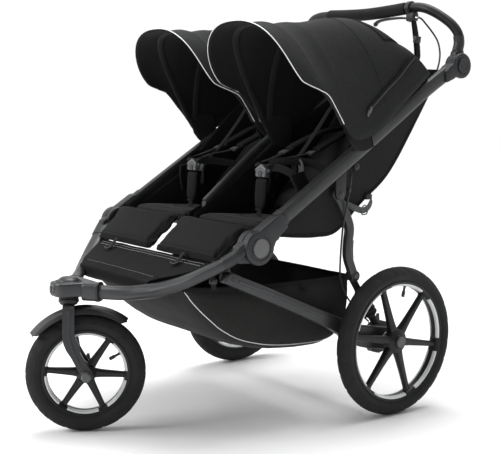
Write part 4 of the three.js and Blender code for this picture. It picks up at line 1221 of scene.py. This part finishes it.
def seat_backs():
    def place(u, v, w):
        y, z = smooth_along(BACK_FRONT, 0.03 + 0.94 * v)
        across = 2 * u - 1
        wing = 20 * abs(across) ** 4 * math.sin(math.pi * min(1, v + 0.1))
        crown = 5 * (1 - across**4) * (1 - (2 * v - 1) ** 4)
        off = mix(-13 - crown, -1 + crown + wing, w)
        return (mix(SEAT_IN + 7, SEAT_OUT - 7, u), y - off * 0.72, z + off * 0.69)
    pad = puffed(cushion("back_pad", place, 20, 30, SEAT_CLOTH), 6, 6)

    def seams(x, y, z):
        front = (y - 250) * 0.72 - (z - 640) * 0.69
        if front > 12:
            return 0
        deep = 0
        for at in (592, 655, 770):
            deep += 3.0 * math.exp(-(((z - at) / 3.2) ** 2)) if abs(x - SEAT_MID) < 104 else 0
        for at in (SEAT_MID - 106, SEAT_MID + 106):
            deep += 3.0 * math.exp(-(((x - at) / 3.2) ** 2))
        return deep
    pad = pressed(subdivided(pad), seams)
    for piece in put_pair(pad, "back_pad", "back_{s}", ["seat_back_{s}"], "seat_cloth"):
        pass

    # The outer back panel with its binding and a stretch pocket.
    def panel(u, v):
        y, z = smooth_along([(133, 500), (160, 532), (196, 560), (250, 600), (301, 642),
                             (345, 702), (436, 826)], v)
        x = mix(SEAT_IN - 3, 309, u)
        bulge = 5 * math.sin(math.pi * u) * math.sin(math.pi * v)
        return (x, y + bulge * 0.6 + wobble(x, y, z, 60, 2.0), z - bulge * 0.6)
    back = thick(grid("back_panel", panel, 28, 48, SIDE_CLOTH), 1.6)
    for piece in put_pair(back, "back_panel", "back_{s}", (), "seat_cloth"):
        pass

    def pocket(u, v):
        y, z = smooth_along([(262, 604), (301, 638), (345, 698), (392, 762)], v)
        x = mix(60, 262, u)
        bulge = 3 + 12 * math.sin(math.pi * u) * math.sin(math.pi * min(1, 0.15 + 0.85 * v))
        return (x, y + bulge * 0.7 + 2, z - bulge * 0.6 - 2)
    sack = thick(grid("back_pocket", pocket, 20, 20, MESH_CLOTH), 1.2)
    edge = piping("pocket_edge", [pocket(i / 12, 1) for i in range(13)], BINDING, 2.0, 30)
    for piece in put_pair(join("back_pocket", sack, edge), "back_pocket", "back_{s}", (),
                          "seat_cloth"):
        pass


def seat_sides():
    """Side cloths that hang from the tubes down to the seat, with bound lower edges."""
    top = [(-78, 524), (-20, 561), (60, 612), (140, 690), (241, 790), (330, 850), (410, 905),
           (474, 912)]
    low = [(-78, 500), (-20, 492), (60, 488), (125, 498), (205, 566), (300, 640), (400, 780),
           (474, 896)]

    def place(u, v):
        y0, z0 = smooth_along(top, u)
        y1, z1 = smooth_along(low, u)
        y, z = mix(y0, y1, v), mix(z0, z1, v)
        belly = 6 * math.sin(math.pi * v) * math.sin(math.pi * u)
        return (311.5 - belly * 0.6 + wobble(u * 300, v * 60, 0, 34, 1.8), y, z)
    side = thick(grid("side_cloth", place, 56, 18, SIDE_CLOTH), 1.2)
    hem = strap("side_hem", [(312, *smooth_along(low, t / 20)) for t in range(21)], 9, BINDING, 2,
                side=(0, 0.4, 1), steps=70)
    stud = lathe("side_stud", [(0, 319), (4, 318.6), (4.6, 317), (9, 316), (9.6, 314), (9.6, 312),
                               (0, 312)], PLASTIC, 32, (0, 186, 657))
    for piece in put_pair(join("side_cloth", side, hem, stud), "side_cloth", "upper", (), "seat_cloth"):
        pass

    def inner(u, v):
        y0, z0 = smooth_along([(-106, 524), (-60, 549), (20, 606), (114, 678), (240, 762),
                               (420, 864)], u)
        y1, z1 = smooth_along([(-112, 516), (-40, 512), (40, 504), (126, 496), (240, 590),
                               (420, 846)], u)
        belly = 3 * math.sin(math.pi * v)
        return (11.5 + belly, mix(y0, y1, v), mix(z0, z1, v))
    net = thick(grid("middle_net", inner, 50, 16, MESH_CLOTH), 1.0)
    hem = strap("middle_hem", [inner(t / 20, 0.02) for t in range(21)], 8, BINDING, 1.8,
                side=(0, 0.4, 1), steps=60)
    for piece in put_pair(join("middle_net", net, hem), "middle_net", "upper", (), "seat_cloth"):
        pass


def calf_pads():
    run = [(-137, 529), (-152, 519), (-184, 489), (-245, 437)]

    def place(u, v, w):
        y, z = smooth_along(run, v)
        across, down = 2 * u - 1, 2 * v - 1
        crown = 6 * (1 - across**4) * (1 - down**4)
        off = mix(-17 - crown * 0.4, -4 + crown, w)
        outer = SEAT_OUT + 6 - 18 * v
        corner = 5 * max(0, abs(down) - 0.8) / 0.2 * (1 if u < 0.5 else -1) * abs(across) ** 6
        return (mix(SEAT_IN - 6, outer, u) + corner, y - off * 0.5, z + off * 0.72)
    pad = puffed(cushion("calf_cushion", place, 24, 16, SHADE_DARKENED_PAD_CLOTH), 7, 5)

    def seams(x, y, z):
        edge = min(x - 20, 296 - (526 - z) * 0.25 - x)
        low = (y + 230) * 0.7 + (z - 446) * 0.7
        return 1.6 * math.exp(-((low - 9) / 3) ** 2) + 1.4 * math.exp(-(edge / 2.6) ** 2)
    pad = pressed(subdivided(pad), seams)
    for piece in put_pair(pad, "calf_cushion", "chassis", ["calf_pad_{s}"], "seat_cloth"):
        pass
    band = strap("calf_band", [(164, -238, 449), (164, -247, 441), (164, -252, 434),
                               (164, -262, 428), (164, -268, 426)], 13, WEBBING, 2, steps=14)
    hook = sweep("calf_hook", [(154, -262, 428), (153, -270, 425), (175, -270, 425),
                               (174, -262, 428)], rounded(5, 3, 1.2, 3), PLASTIC, 24)
    put_pair(join("calf_band", band, hook), "calf_band", "chassis", (), "seat_cloth")


def footrest():
    halves = [271, 245, 220, 195, 173]
    run = [(-224, 432), (-266, 415), (-296, 404), (-322, 396), (-339, 388)]

    def top(u, v):
        if v < 0.72:
            s = v / 0.72
            y, z = smooth_along(run, s)
            half = smooth_along([(h, 0) for h in halves], s)[0]
        else:
            s = (v - 0.72) / 0.28
            y, z = smooth_along([(-339, 388), (-344.5, 384), (-345, 374), (-341, 362),
                                 (-331, 355)], s)
            half = mix(173, 152, s * s)
        across = 2 * u - 1
        crown = 3 * (1 - across**2) * math.sin(math.pi * min(1, v / 0.75)) if v < 0.75 else 0
        ridge = 2.2 * math.exp(-(((v - 0.55) / 0.02) ** 2)) * (1 if abs(across) < 0.93 else 0)
        return half * across, y, z + crown + ridge

    def place(u, v):
        x, y, z = top(u, v)
        return (x, y, z + wobble(x, y, z, 45, 1.3))
    cover = thick(grid("foot_cover", place, 72, 60, SHADE_DARKENED_FOOT_CLOTH), 2.4)
    under = cushion("foot_core", lambda u, v, w: (
        smooth_along([(h - 24, 0) for h in halves], v)[0] * (2 * u - 1),
        smooth_along(run, v)[0], smooth_along(run, v)[1] - mix(17, 3, w)), 24, 12, SIDE_CLOTH)
    piece = join("foot_cover", cover, under)
    put(piece, "chassis", ["footrest"], "seat_cloth")
    rows = []
    for k, v in enumerate((0.045, 0.085)):
        rows.append(stitches(f"row{k}", [place(0.03 + 0.94 * i / 24, v) for i in range(25)], THREAD,
                             5.5, 3.8, 1.5, (0, 1, 0), 3.0))
    # Partly painted highlight: the pale thread row on the front ridge is a seam that also stands for the
    # light the ridge catches.
    rows.append(stitches("ridge_highlight_row", [place(0.06 + 0.88 * i / 24, 0.585) for i in range(25)],
                         THREAD, 6, 3.6, 1.2, (0, 1, 0), 3.0))
    put(join("foot_stitching", *rows), "chassis", (), "seat_cloth")


# ------------------------------------------------------------------ harness
def harness():
    turn = Matrix.Translation((SEAT_MID, -4, 528)) @ Matrix.Rotation(math.radians(-4), 4, "X")

    def pad_place(u, v, w):
        wide = smooth_along([(17, 0), (24, 0), (25, 0), (24, 0)], v)[0]
        crown = 3 * (1 - (2 * u - 1) ** 4)
        return (wide * (2 * u - 1), (4 + crown) * (1 - 2 * w), mix(14, 96, v))
    pad = subdivided(puffed(cushion("crotch", pad_place, 10, 16, SHADE_DARKENED_PAD_CLOTH), 3, 4.2))
    pad = moved(pad, turn)
    for piece in put_pair(pad, "crotch_cushion", "upper", ["crotch_pad_{s}"], "seat_cloth"):
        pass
    tongue = strap("crotch_web", [(0, -3, -4), (0, -2, 8), (0, 0, 18)], 20, WEBBING, 2, steps=10)
    fold = strap("crotch_fold", [(0, -5.5, 12), (0, -5.5, 17)], 26, WEBBING, 2.4, steps=4)
    put_pair(moved(join("crotch_web", tongue, fold), turn), "crotch_web", "upper", (),
             "seat_cloth")

    # Buckle: a shield with a chevron head, a round button and slots for the two tongues.
    shield = plate("shield", [(-19, 98), (19, 98), (21, 104), (21, 121), (0, 133), (-21, 121),
                              (-21, 104)], -8, 8, BUCKLE_GREY, 3, 4, axis="Y")
    chevrons = [strap(f"chev{k}", [(-20, -8.2, 112 - 6 * k), (0, -8.2, 122 - 6 * k)], 1.6,
                      PLASTIC, 0.8, side=(0, 0, 1), steps=6) for k in range(2)]
    chevrons += [copied(c, c.name + "_b", MIRROR) for c in chevrons]
    tongues = [plate("tongue", [(17, 106), (30, 112), (31, 119), (17, 121)], -3, 3, PLASTIC, 1.4,
                     3, axis="Y")]
    tongues.append(copied(tongues[0], "tongue_b", MIRROR))
    put_pair(moved(join("buckle_shell", shield, *chevrons, *tongues), turn), "buckle_shell",
             "upper", ["buckle_{s}"], "grey_plastic")
    button = lathe("press", [(0, -10.4), (5, -10.3), (8, -9.8), (9, -8.6), (9, -5), (0, -5)],
                   PLASTIC, 40, (0, 0, 106), "Y")
    put_pair(moved(button, turn), "press_button", "buckle_button_body_{s}",
             ["buckle_button_{s}"], "black_plastic")

    span = (("upper", "back_{s}", (0.159, 0.06, 0.66), (0.159, 0.2, 0.72)))
    for k, (x, points, clip) in enumerate((
        (112, [(112, 338, 748), (112, 300, 748), (112, 250, 741), (112, 208, 728), (112, 160, 709),
               (112, 122, 692)], (112, 112, 687)),
        (206, [(206, 342, 752), (206, 300, 754), (206, 245, 742), (206, 191, 718), (206, 160, 704),
               (206, 136, 693)], (206, 124, 688)),
    )):
        line = curve(points, 40)

        def shoulder(u, v, w, line=line):
            i = v * 40
            a = line[min(int(i), 39)]
            b = line[min(int(i) + 1, 40)]
            p = mix(a, b, i - int(i))
            forward = unit(line[min(int(i) + 1, 40)] - line[max(int(i) - 1, 0)])
            up = np.cross((1, 0, 0), forward)
            up = up if up[2] > 0 else -up
            crown = 1.6 * (1 - (2 * u - 1) ** 4)
            half = 20 - 3 * max(0, v - 0.9) / 0.1
            return tuple(p + np.array((half * (2 * u - 1), 0, 0)) + up * (mix(-4 - crown, 4 + crown, w)))
        soft = subdivided(cushion(f"shoulder{k}", shoulder, 8, 34, SHADE_DARKENED_PAD_CLOTH))
        for piece in put_pair(soft, f"shoulder_pad{k}", "upper", (), "seat_cloth", blend=span):
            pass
        cx, cy, cz = clip
        frame_ = plate("clip", rounded(34, 24, 5, 3), -2.6, 2.6, PLASTIC, 1.2, 2, axis="Z")
        bars = [plate(f"bar{j}", [(p - 13, q - 2 + 5.5 * j) for p, q in
                                  ((0, 0), (26, 0), (26, 2.4), (0, 2.4))], 2, 4, HUB_GREY, 0.7, 2,
                      axis="Z") for j in (-1, 0, 1)]
        tilt = Matrix.Translation((cx, cy, cz)) @ Matrix.Rotation(math.radians(22), 4, "X")
        clip_piece = moved(join("clip", frame_, *bars), tilt)
        put_pair(clip_piece, f"shoulder_clip{k}", "upper", (), "black_plastic", blend=span)
        side = -1 if k == 0 else 1
        web = strap("web", [(cx, cy + 4, cz + 1), (mix(cx, SEAT_MID, 0.2), 90, 681),
                            (mix(cx, SEAT_MID, 0.55), 48, 672),
                            (SEAT_MID + side * 24, 8, 660), (SEAT_MID + side * 18, 0, 655)],
                    17, WEBBING, 1.8, side=(1, 0, 0), steps=30)
        put_pair(web, f"shoulder_web{k}", "upper", (), "seat_cloth", blend=span)
    high = strap("high_web", [(180, 372, 812), (184, 330, 828), (185, 262, 836), (185, 216, 812),
                              (184, 173, 760), (186, 118, 697), (190, 84, 664), (205, 72, 640)],
                 17, WEBBING, 1.8, steps=60)
    put_pair(high, "high_web", "upper", (), "seat_cloth", blend=span)
    waists = [
        strap("waist_a", [(182, 6, 664), (205, 34, 668), (228, 78, 668), (258, 108, 655),
                          (282, 120, 620), (291, 122, 575)], 20, WEBBING, 2, side=(0, 0, 1),
              steps=40),
        strap("waist_b", [(180, 8, 652), (205, 18, 652), (235, 34, 640), (262, 52, 612),
                          (280, 66, 575), (284, 70, 545)], 20, WEBBING, 2, side=(0, 0.3, 1),
              steps=40),
        strap("waist_c", [(138, 6, 656), (112, 60, 652), (74, 118, 636), (40, 138, 600),
                          (28, 140, 560)], 20, WEBBING, 2, side=(0, 0, 1), steps=40),
    ]
    put_pair(join("waist_web", *waists), "waist_web", "upper", (), "seat_cloth")
    tail = strap("tail", [(222, 70, 672), (225, 74, 664), (226, 76, 648), (226, 75, 620)], 21,
                 GREY_WEB, 2, steps=16)
    stub = strap("stub", [(226, 74.6, 628), (226, 74.6, 619)], 21, GREY_WEB, 4.2, steps=4)
    put_pair(join("web_tail", tail, stub), "web_tail", "upper", (), "grey_plastic")
    for k, (points, mat) in enumerate((
        ([(250, 40, 640), (262, 46, 616), (274, 58, 588), (280, 66, 566)], SHADE_DARKENED_PAD_CLOTH),
        ([(64, 120, 640), (50, 134, 618), (38, 140, 590), (34, 142, 570)], SHADE_DARKENED_PAD_CLOTH),
    )):
        hip = subdivided(bevelled(sweep(f"hip{k}", points, rounded(46, 11, 5, 3), mat, 16,
                                        side=(0, 1, 0.2)), 2.5, 2, 40))
        for piece in put_pair(hip, f"hip_pad{k}", "upper", (), "seat_cloth"):
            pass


# ------------------------------------------------------------------ basket
BAG = [(-280, 368), (-262, 330), (-238, 300), (-206, 270), (-166, 238), (-108, 206), (-20, 184),
       (80, 176), (150, 179), (188, 206), (194, 270), (188, 370)]
BAG_HALF = [(-300, 208), (-272, 234), (-200, 248), (-130, 266), (-60, 281), (240, 281)]


def bag_half(y):
    for (y0, h0), (y1, h1) in zip(BAG_HALF, BAG_HALF[1:]):
        if y <= y1:
            return mix(h0, h1, (y - y0) / (y1 - y0))
    return BAG_HALF[-1][1]


def bag_point(u, v, inset=0.0):
    """u runs from the right rim under the bag to the left rim, v from the front to the back."""
    y, z = smooth_along(BAG, v)
    rim = 370 - 5 * math.sin(math.pi * v)
    depth = max(rim - z - inset, 0.5)
    angle = math.radians(mix(-90, 90, u))
    power = 2 / 5.5
    side = math.sin(angle)
    x = (bag_half(y) - inset) * math.copysign(abs(side) ** power, side)
    low = rim - depth * abs(math.cos(angle)) ** power
    fold = wobble(x * 0.4, y, low * 0.2, 26, 2.2) * abs(math.cos(angle)) ** 0.3
    sag = -3 * math.cos(math.pi * v * 6) * (1 - abs(side)) if 0.3 < v < 0.85 else 0
    out = math.copysign(1, x) if abs(side) > 0.75 else 0
    return (x + out * fold * 0.8, y, low + (0 if out else fold * 0.6) + sag * 0.3)


def basket():
    shell = thick(grid("bag_shell", bag_point, 90, 84, BASKET_CLOTH), 1.8, 0)
    rims = []
    for sign in (0, 1):
        line = [bag_point(sign, 0.01 + 0.98 * t / 40) for t in range(41)]
        rims.append(strap(f"rim{sign}", [(x, y, z + 1) for x, y, z in line], 12, BINDING, 3.4,
                          side=(0, 0, 1), steps=110))
    ends = [[bag_point(0.002 + 0.996 * t / 40, v) for t in range(41)] for v in (0.0, 1.0)]
    for k, line in enumerate(ends):
        rims.append(strap(f"end{k}", [(x, y, z + 1) for x, y, z in line], 12, BINDING, 3.4,
                          side=(0, 0.2, 1), steps=80))
    bag = join("bag_shell", shell, *rims)
    put(bag, "chassis", ["basket"], "seat_cloth",
        squash=("fold", (0, 0, 1), (0, 0, 0.366), 0.35))
    seam = []
    for t in range(41):
        down = min(1, t / 20)
        seam.append(bag_point(mix(0.905, 0.77, down * down * (3 - 2 * down)), 0.01 + 0.86 * t / 40))
    trim = piping("bag_piping", [(x + 1.2, y - 0.6, z - 1) for x, y, z in seam], PIPING, 1.2, 140)
    put_pair(trim, "bag_piping", "chassis", (), "seat_cloth",
             squash=("fold", (0, 0, 1), (0, 0, 0.366), 0.35))
    hanger = strap("bag_hanger", [(258, -214, 369), (266, -222, 384), (271, -228, 400),
                                  (274, -232, 417)], 13, WEBBING, 2, side=(0.5, 0.8, 0), steps=14)
    clip = plate("bag_buckle", rounded(20, 13, 3, 3), -3, 3, PLASTIC, 1.5, 2, axis="Y")
    moved(clip, Matrix.Translation((268, -224, 391)) @ Matrix.Rotation(math.radians(35), 4, "Z"))
    loop = strap("bag_loop", [(281, 40, 366), (286, 44, 360), (292, 48, 352), (297, 50, 346)], 20,
                 WEBBING, 2, side=(0, 1, 0), steps=12)
    put_pair(join("bag_hanger", hanger, clip, loop), "bag_hanger", "chassis", (), "seat_cloth")


def recline_straps():
    """The webbing that holds each seat back up, with its ring and slider."""
    a = strap("recline_web", [(313, 150, 566), (320, 176, 553), (323, 204, 545), (323, 222, 552),
                              (322, 232, 568), (320, 228, 582)], 17, GREY_WEB, 2.2,
              side=(0.2, -0.6, 0.8), steps=34)
    ring_ = sweep("recline_ring", [(324, 200, 534), (324, 216, 536), (324, 218, 552),
                                   (324, 208, 558), (324, 199, 550), (324, 200, 534)],
                  ring(1.6, 10), HUB_GREY, 40)
    slider = plate("recline_slider", [(214, 572), (234, 572), (234, 586), (214, 586)], 314, 325,
                   PLASTIC, 2, 3)
    put_pair(join("recline_web", a, ring_, slider), "recline_web", "upper", (), "seat_cloth")


# ------------------------------------------------------------------ canopies
GROUND = [(6, 852), (54, 834), (96, 779), (139, 729), (190, 733), (246, 762), (316, 822),
          (370, 866), (404, 897)]
CROWN = [(-112, 1012), (-56, 1014), (16, 1016), (96, 1024), (176, 1036), (246, 1038), (306, 996)]
BOWS = (0.0, 0.2, 0.38, 0.67)
CANOPY_BLEND = ("upper", "hood_{s}", (0.1825, 0.2, 0.93), (0.1825, 0.02, 0.87))


HOOD_SQUARENESS = 2.4      # 2 would make the canopy's cross section an ellipse
CLOTH_DENT = 3.2           # how far the cloth falls in between two bows
CREASE = 2.2               # height of its loose creases


def hood_point(u, t, shrink=0.0, soft=True):
    """A point of the canopy: u from the inner side over the crown to the outer side, t from
    the front edge to the back."""
    angle = math.radians(mix(-90, 90, u))
    half = (CANOPY_OUT - CANOPY_IN) / 2 - 0.5 - shrink
    side = math.sin(angle)
    power = 2 / HOOD_SQUARENESS
    x = CANOPY_MID + half * math.copysign(abs(side) ** power, side)
    rise = max(math.cos(angle), 0) ** power
    gy, gz = smooth_along(GROUND, t)
    cy, cz = smooth_along(CROWN, t)
    lead = mix(math.sqrt(rise), rise, min(1, t * 2.5))
    y, z = mix(gy, cy, lead), mix(gz, cz - shrink, rise)
    if soft:
        between = 1.0
        for a, b in zip(BOWS, BOWS[1:] + (1.0,)):
            if a <= t <= b:
                between = math.sin(math.pi * (t - a) / (b - a))
        dent = CLOTH_DENT * between * rise ** 0.5
        crease = wobble(u * 300, t * 90 + side * 30, 0, 42, CREASE, 3.0) * (0.3 + 0.7 * between)
        z -= dent + crease * rise
        x -= math.copysign(1, side) * abs(side) * (dent * 0.5 + crease * 0.7)
    return (x, y, z)


def canopy_piece(obj, stem, nodes=()):
    return put_pair(obj, stem, "upper", nodes, "canopy_cloth", blend=CANOPY_BLEND)


def canopies():
    outer = thick(grid("canopy_shell", lambda u, v: hood_point(u, v), 72, 96, CANOPY_CLOTH), 1.4, 0)
    for piece in canopy_piece(outer, "canopy_shell", ["canopy_{s}", "canopy_rear_{s}"]):
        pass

    def lining(u, v):
        return hood_point(u, 0.004 + 0.975 * v, 3.6)
    inner = thick(grid("canopy_lining", lining, 60, 60, PARTLY_SHADED_LINING), 0.8, 0)
    for piece in canopy_piece(inner, "canopy_lining"):
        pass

    # White piping along the whole front edge, from the inner pivot over the crown.
    front = [hood_point(i / 60, 0.0, -0.6) for i in range(61)]
    down = [(0.6, 0.05), (0.6, 0.12), (0.6, 0.2), (0.6, 0.28)]
    outer_side = [(CANOPY_OUT - 0.3, *smooth_along(GROUND, t)) for _, t in down]
    inner_side = [(CANOPY_IN + 0.3, *smooth_along(GROUND, t)) for _, t in down]
    trim = piping("canopy_piping", inner_side[::-1] + front[1:-1] + outer_side, PIPING, 1.25, 220)
    canopy_piece(trim, "canopy_piping")

    # Bows sewn to the lining: flat rods in sleeves that fan out from the side pivots.
    bows = []
    for k, (t, wide) in enumerate(((0.17, 17), (0.56, 19))):
        line = []
        for i in range(41):
            u = 0.02 + 0.96 * i / 40
            fan = math.sin(math.pi * u) ** 0.75
            line.append(hood_point(u, mix(0.36, t, fan), 7.0, False))
        bows.append(strap(f"bow{k}", line, wide, BOW_TAPE, 7, side=(0, 1, 0), steps=90))
    canopy_piece(join("canopy_bows", *bows), "canopy_bows")

    # A raised seam over the outside, in front of the rear panel.
    line = [hood_point(0.01 + 0.98 * i / 48, 0.66, -0.7) for i in range(49)]
    canopy_piece(strap("canopy_seams", line, 3.2, CANOPY_CLOTH, 1.4, side=(0, 1, 0), steps=120),
                 "canopy_seams")

    # The zip on the outer side with its tape and two pulls.
    path = [(352.8, 343, 936), (352.8, 318, 912), (352.8, 290, 884), (352.8, 250, 852),
            (352.8, 212, 819), (352.8, 186, 797)]
    tape = strap("zip_tape", path, 17, BINDING, 1.6, side=(0, -0.72, 0.7), steps=50)
    teeth = strap("zip_teeth", [(x + 0.8, y, z) for x, y, z in path], 4.4, PLASTIC, 1.8,
                  side=(0, -0.72, 0.7), steps=50)
    pulls = [plate(f"pull{k}", [(180 + 7 * k, 788 + 9 * k), (186 + 7 * k, 783 + 9 * k),
                                (191 + 7 * k, 797 + 9 * k), (184 + 7 * k, 801 + 9 * k)], 352.5, 356,
                   HUB_GREY, 1.2, 3) for k in range(2)]
    canopy_piece(join("canopy_zip", tape, teeth, *pulls), "canopy_zip")

    # Side wings at the front foot of the canopy, inside both walls.
    def wing(u, v):
        top = smooth_along([(100, 785), (150, 786), (200, 785)], u)
        low = smooth_along([(131, 724), (150, 703), (182, 698), (212, 708)], u)
        y, z = mix(top[0], low[0], v), mix(top[1], low[1], v)
        return (CANOPY_IN + 5 + 5 * math.sin(math.pi * v) + 2 * math.sin(math.pi * u), y, z)
    near = thick(grid("wing_in", wing, 20, 20, SIDE_CLOTH), 1.6)
    hems = []
    for a in (False, True):
        edge = [wing(1 if a else 0, t / 10) for t in range(11)]
        hems.append(piping(f"hem{a}", edge, BINDING, 1.5, 20))
    inner = join("wing_in", near, *hems)
    across = Matrix.Translation((2 * CANOPY_MID, 0, 0)) @ MIRROR
    canopy_piece(join("canopy_wings", inner, copied(inner, "wing_out", across)), "canopy_wings")

    # The rear curtain closes the canopy down to the top of the seat back, round a net window.
    def curtain(u, v):
        x, y, z = hood_point(0.03 + 0.94 * u, 0.99, 2.5)
        base = (mix(CANOPY_IN + 8, CANOPY_OUT - 45, u), 448, 858)
        belly = 8 * math.sin(math.pi * v)
        return (mix(x, base[0], v), mix(y, base[1], v) + belly * 0.5, mix(z, base[2], v))
    rear = thick(grid("rear_curtain", curtain, 40, 20, CANOPY_CLOTH), 1.4)
    window = thick(grid("rear_window", lambda u, v: tuple(
        np.array(curtain(0.25 + 0.5 * u, 0.12 + 0.5 * v)) + (0, 2.2, 2.2)), 20, 12, MESH_CLOTH), 1)
    frame_line = ([curtain(0.25 + 0.5 * i / 12, 0.12) for i in range(13)]
                  + [curtain(0.75, 0.12 + 0.5 * i / 8) for i in range(1, 9)]
                  + [curtain(0.75 - 0.5 * i / 12, 0.62) for i in range(1, 13)]
                  + [curtain(0.25, 0.62 - 0.5 * i / 8) for i in range(1, 9)])
    border = piping("window_border", [(x, y + 2.6, z + 2.6) for x, y, z in frame_line], BINDING,
                    2.4, 120)
    put_pair(join("rear_curtain", rear, window, border), "rear_curtain", "upper", (),
             "canopy_cloth")

    # The vent flap on the upper rear of the outer side.
    flap = thick(grid("vent_flap", lambda u, v: tuple(
        np.array(hood_point(0.56 + 0.22 * u, 0.8 + 0.13 * v, -2.5)) + (0, 0, 1.5 * math.sin(
            math.pi * v))), 16, 12, PARTLY_SHADED_LINING), 1.6)
    canopy_piece(flap, "vent_flap")


# ------------------------------------------------------------------ stage
ROOM = 0.3                # how bright the room behind the viewer is, next to the backdrop


def studio():
    paint, tree, bsdf = shader("floor_paint", (0.9, 0.9, 0.9), 0.75)
    bsdf.inputs["Specular IOR Level"].default_value = 0.2
    floor = grid("floor", lambda u, v: ((u - 0.5) * 60000, (v - 0.5) * 60000, 0), 2, 2, paint)

    # A white backdrop behind the stroller and a dimmer room on the viewer's side.
    world = bpy.data.worlds.new("studio")
    world.use_nodes = True
    tree = world.node_tree
    aim = tree.nodes.new("ShaderNodeTexCoord").outputs["Generated"]
    toward = tree.nodes.new("ShaderNodeVectorMath")
    toward.operation = "DOT_PRODUCT"
    tree.links.new(aim, toward.inputs[0])
    toward.inputs[1].default_value = (-0.75, 0.66, 0.0)
    shade = ramp(tree, math_node(tree, "MULTIPLY_ADD", toward.outputs["Value"], 0.5, 0.5),
                 [(0.3, ROOM), (0.72, 1.0)])
    back = tree.nodes["Background"]
    tree.links.new(shade, back.inputs["Color"])
    back.inputs["Strength"].default_value = 1.02
    scene.world = world
    scene.view_settings.view_transform = "Standard"

    def lamp(name, place, target, size, power):
        data = bpy.data.lights.new(name, "AREA")
        data.shape = "RECTANGLE"
        data.size, data.size_y = size
        data.energy = power
        lamp_ = bpy.data.objects.new(name, data)
        scene.collection.objects.link(lamp_)
        lamp_.location = place
        aim = Vector(target) - Vector(place)
        lamp_.rotation_mode = "QUATERNION"
        lamp_.rotation_quaternion = aim.to_track_quat("-Z", "Y")
    lamp("key", (-1.4, -3.4, 2.4), (0, 0, 0.5), (1.8, 1.6), 110)
    lamp("top", (-0.3, 0.3, 3.8), (0, 0, 0.5), (3.4, 3.0), 60)
    data = bpy.data.lights.new("overhead", "SUN")
    data.energy = 1.5
    data.angle = math.radians(35)
    overhead = bpy.data.objects.new("overhead", data)
    scene.collection.objects.link(overhead)
    overhead.rotation_euler = (math.radians(-14), math.radians(-8), 0)

    data = bpy.data.cameras.new("camera")
    data.lens = 72.7
    data.sensor_width = 36
    data.clip_start, data.clip_end = 0.05, 100
    camera = bpy.data.objects.new("camera", data)
    scene.collection.objects.link(camera)
    azimuth, elevation, roll = (math.radians(a) for a in (53.0, 6.59, 0.776))
    look = Vector((-math.sin(azimuth) * math.cos(elevation),
                   math.cos(azimuth) * math.cos(elevation), -math.sin(elevation)))
    flat = Vector((math.cos(azimuth), math.sin(azimuth), 0))
    rise = flat.cross(look)
    right = flat * math.cos(roll) + rise * math.sin(roll)
    up = right.cross(look)
    camera.matrix_world = Matrix((
        (right.x, up.x, -look.x, 2.2084), (right.y, up.y, -look.y, -1.5789),
        (right.z, up.z, -look.z, 0.7959), (0, 0, 0, 1)))
    scene.camera = camera


rear_wheels()
caster()
head_block()
front_frame()
upper_frame()
swing_arms()
rear_legs()
handlebar()
hand_brake()
cables()
seat_bases()
seat_backs()
seat_sides()
calf_pads()
footrest()
harness()
basket()
recline_straps()
canopies()
studio()
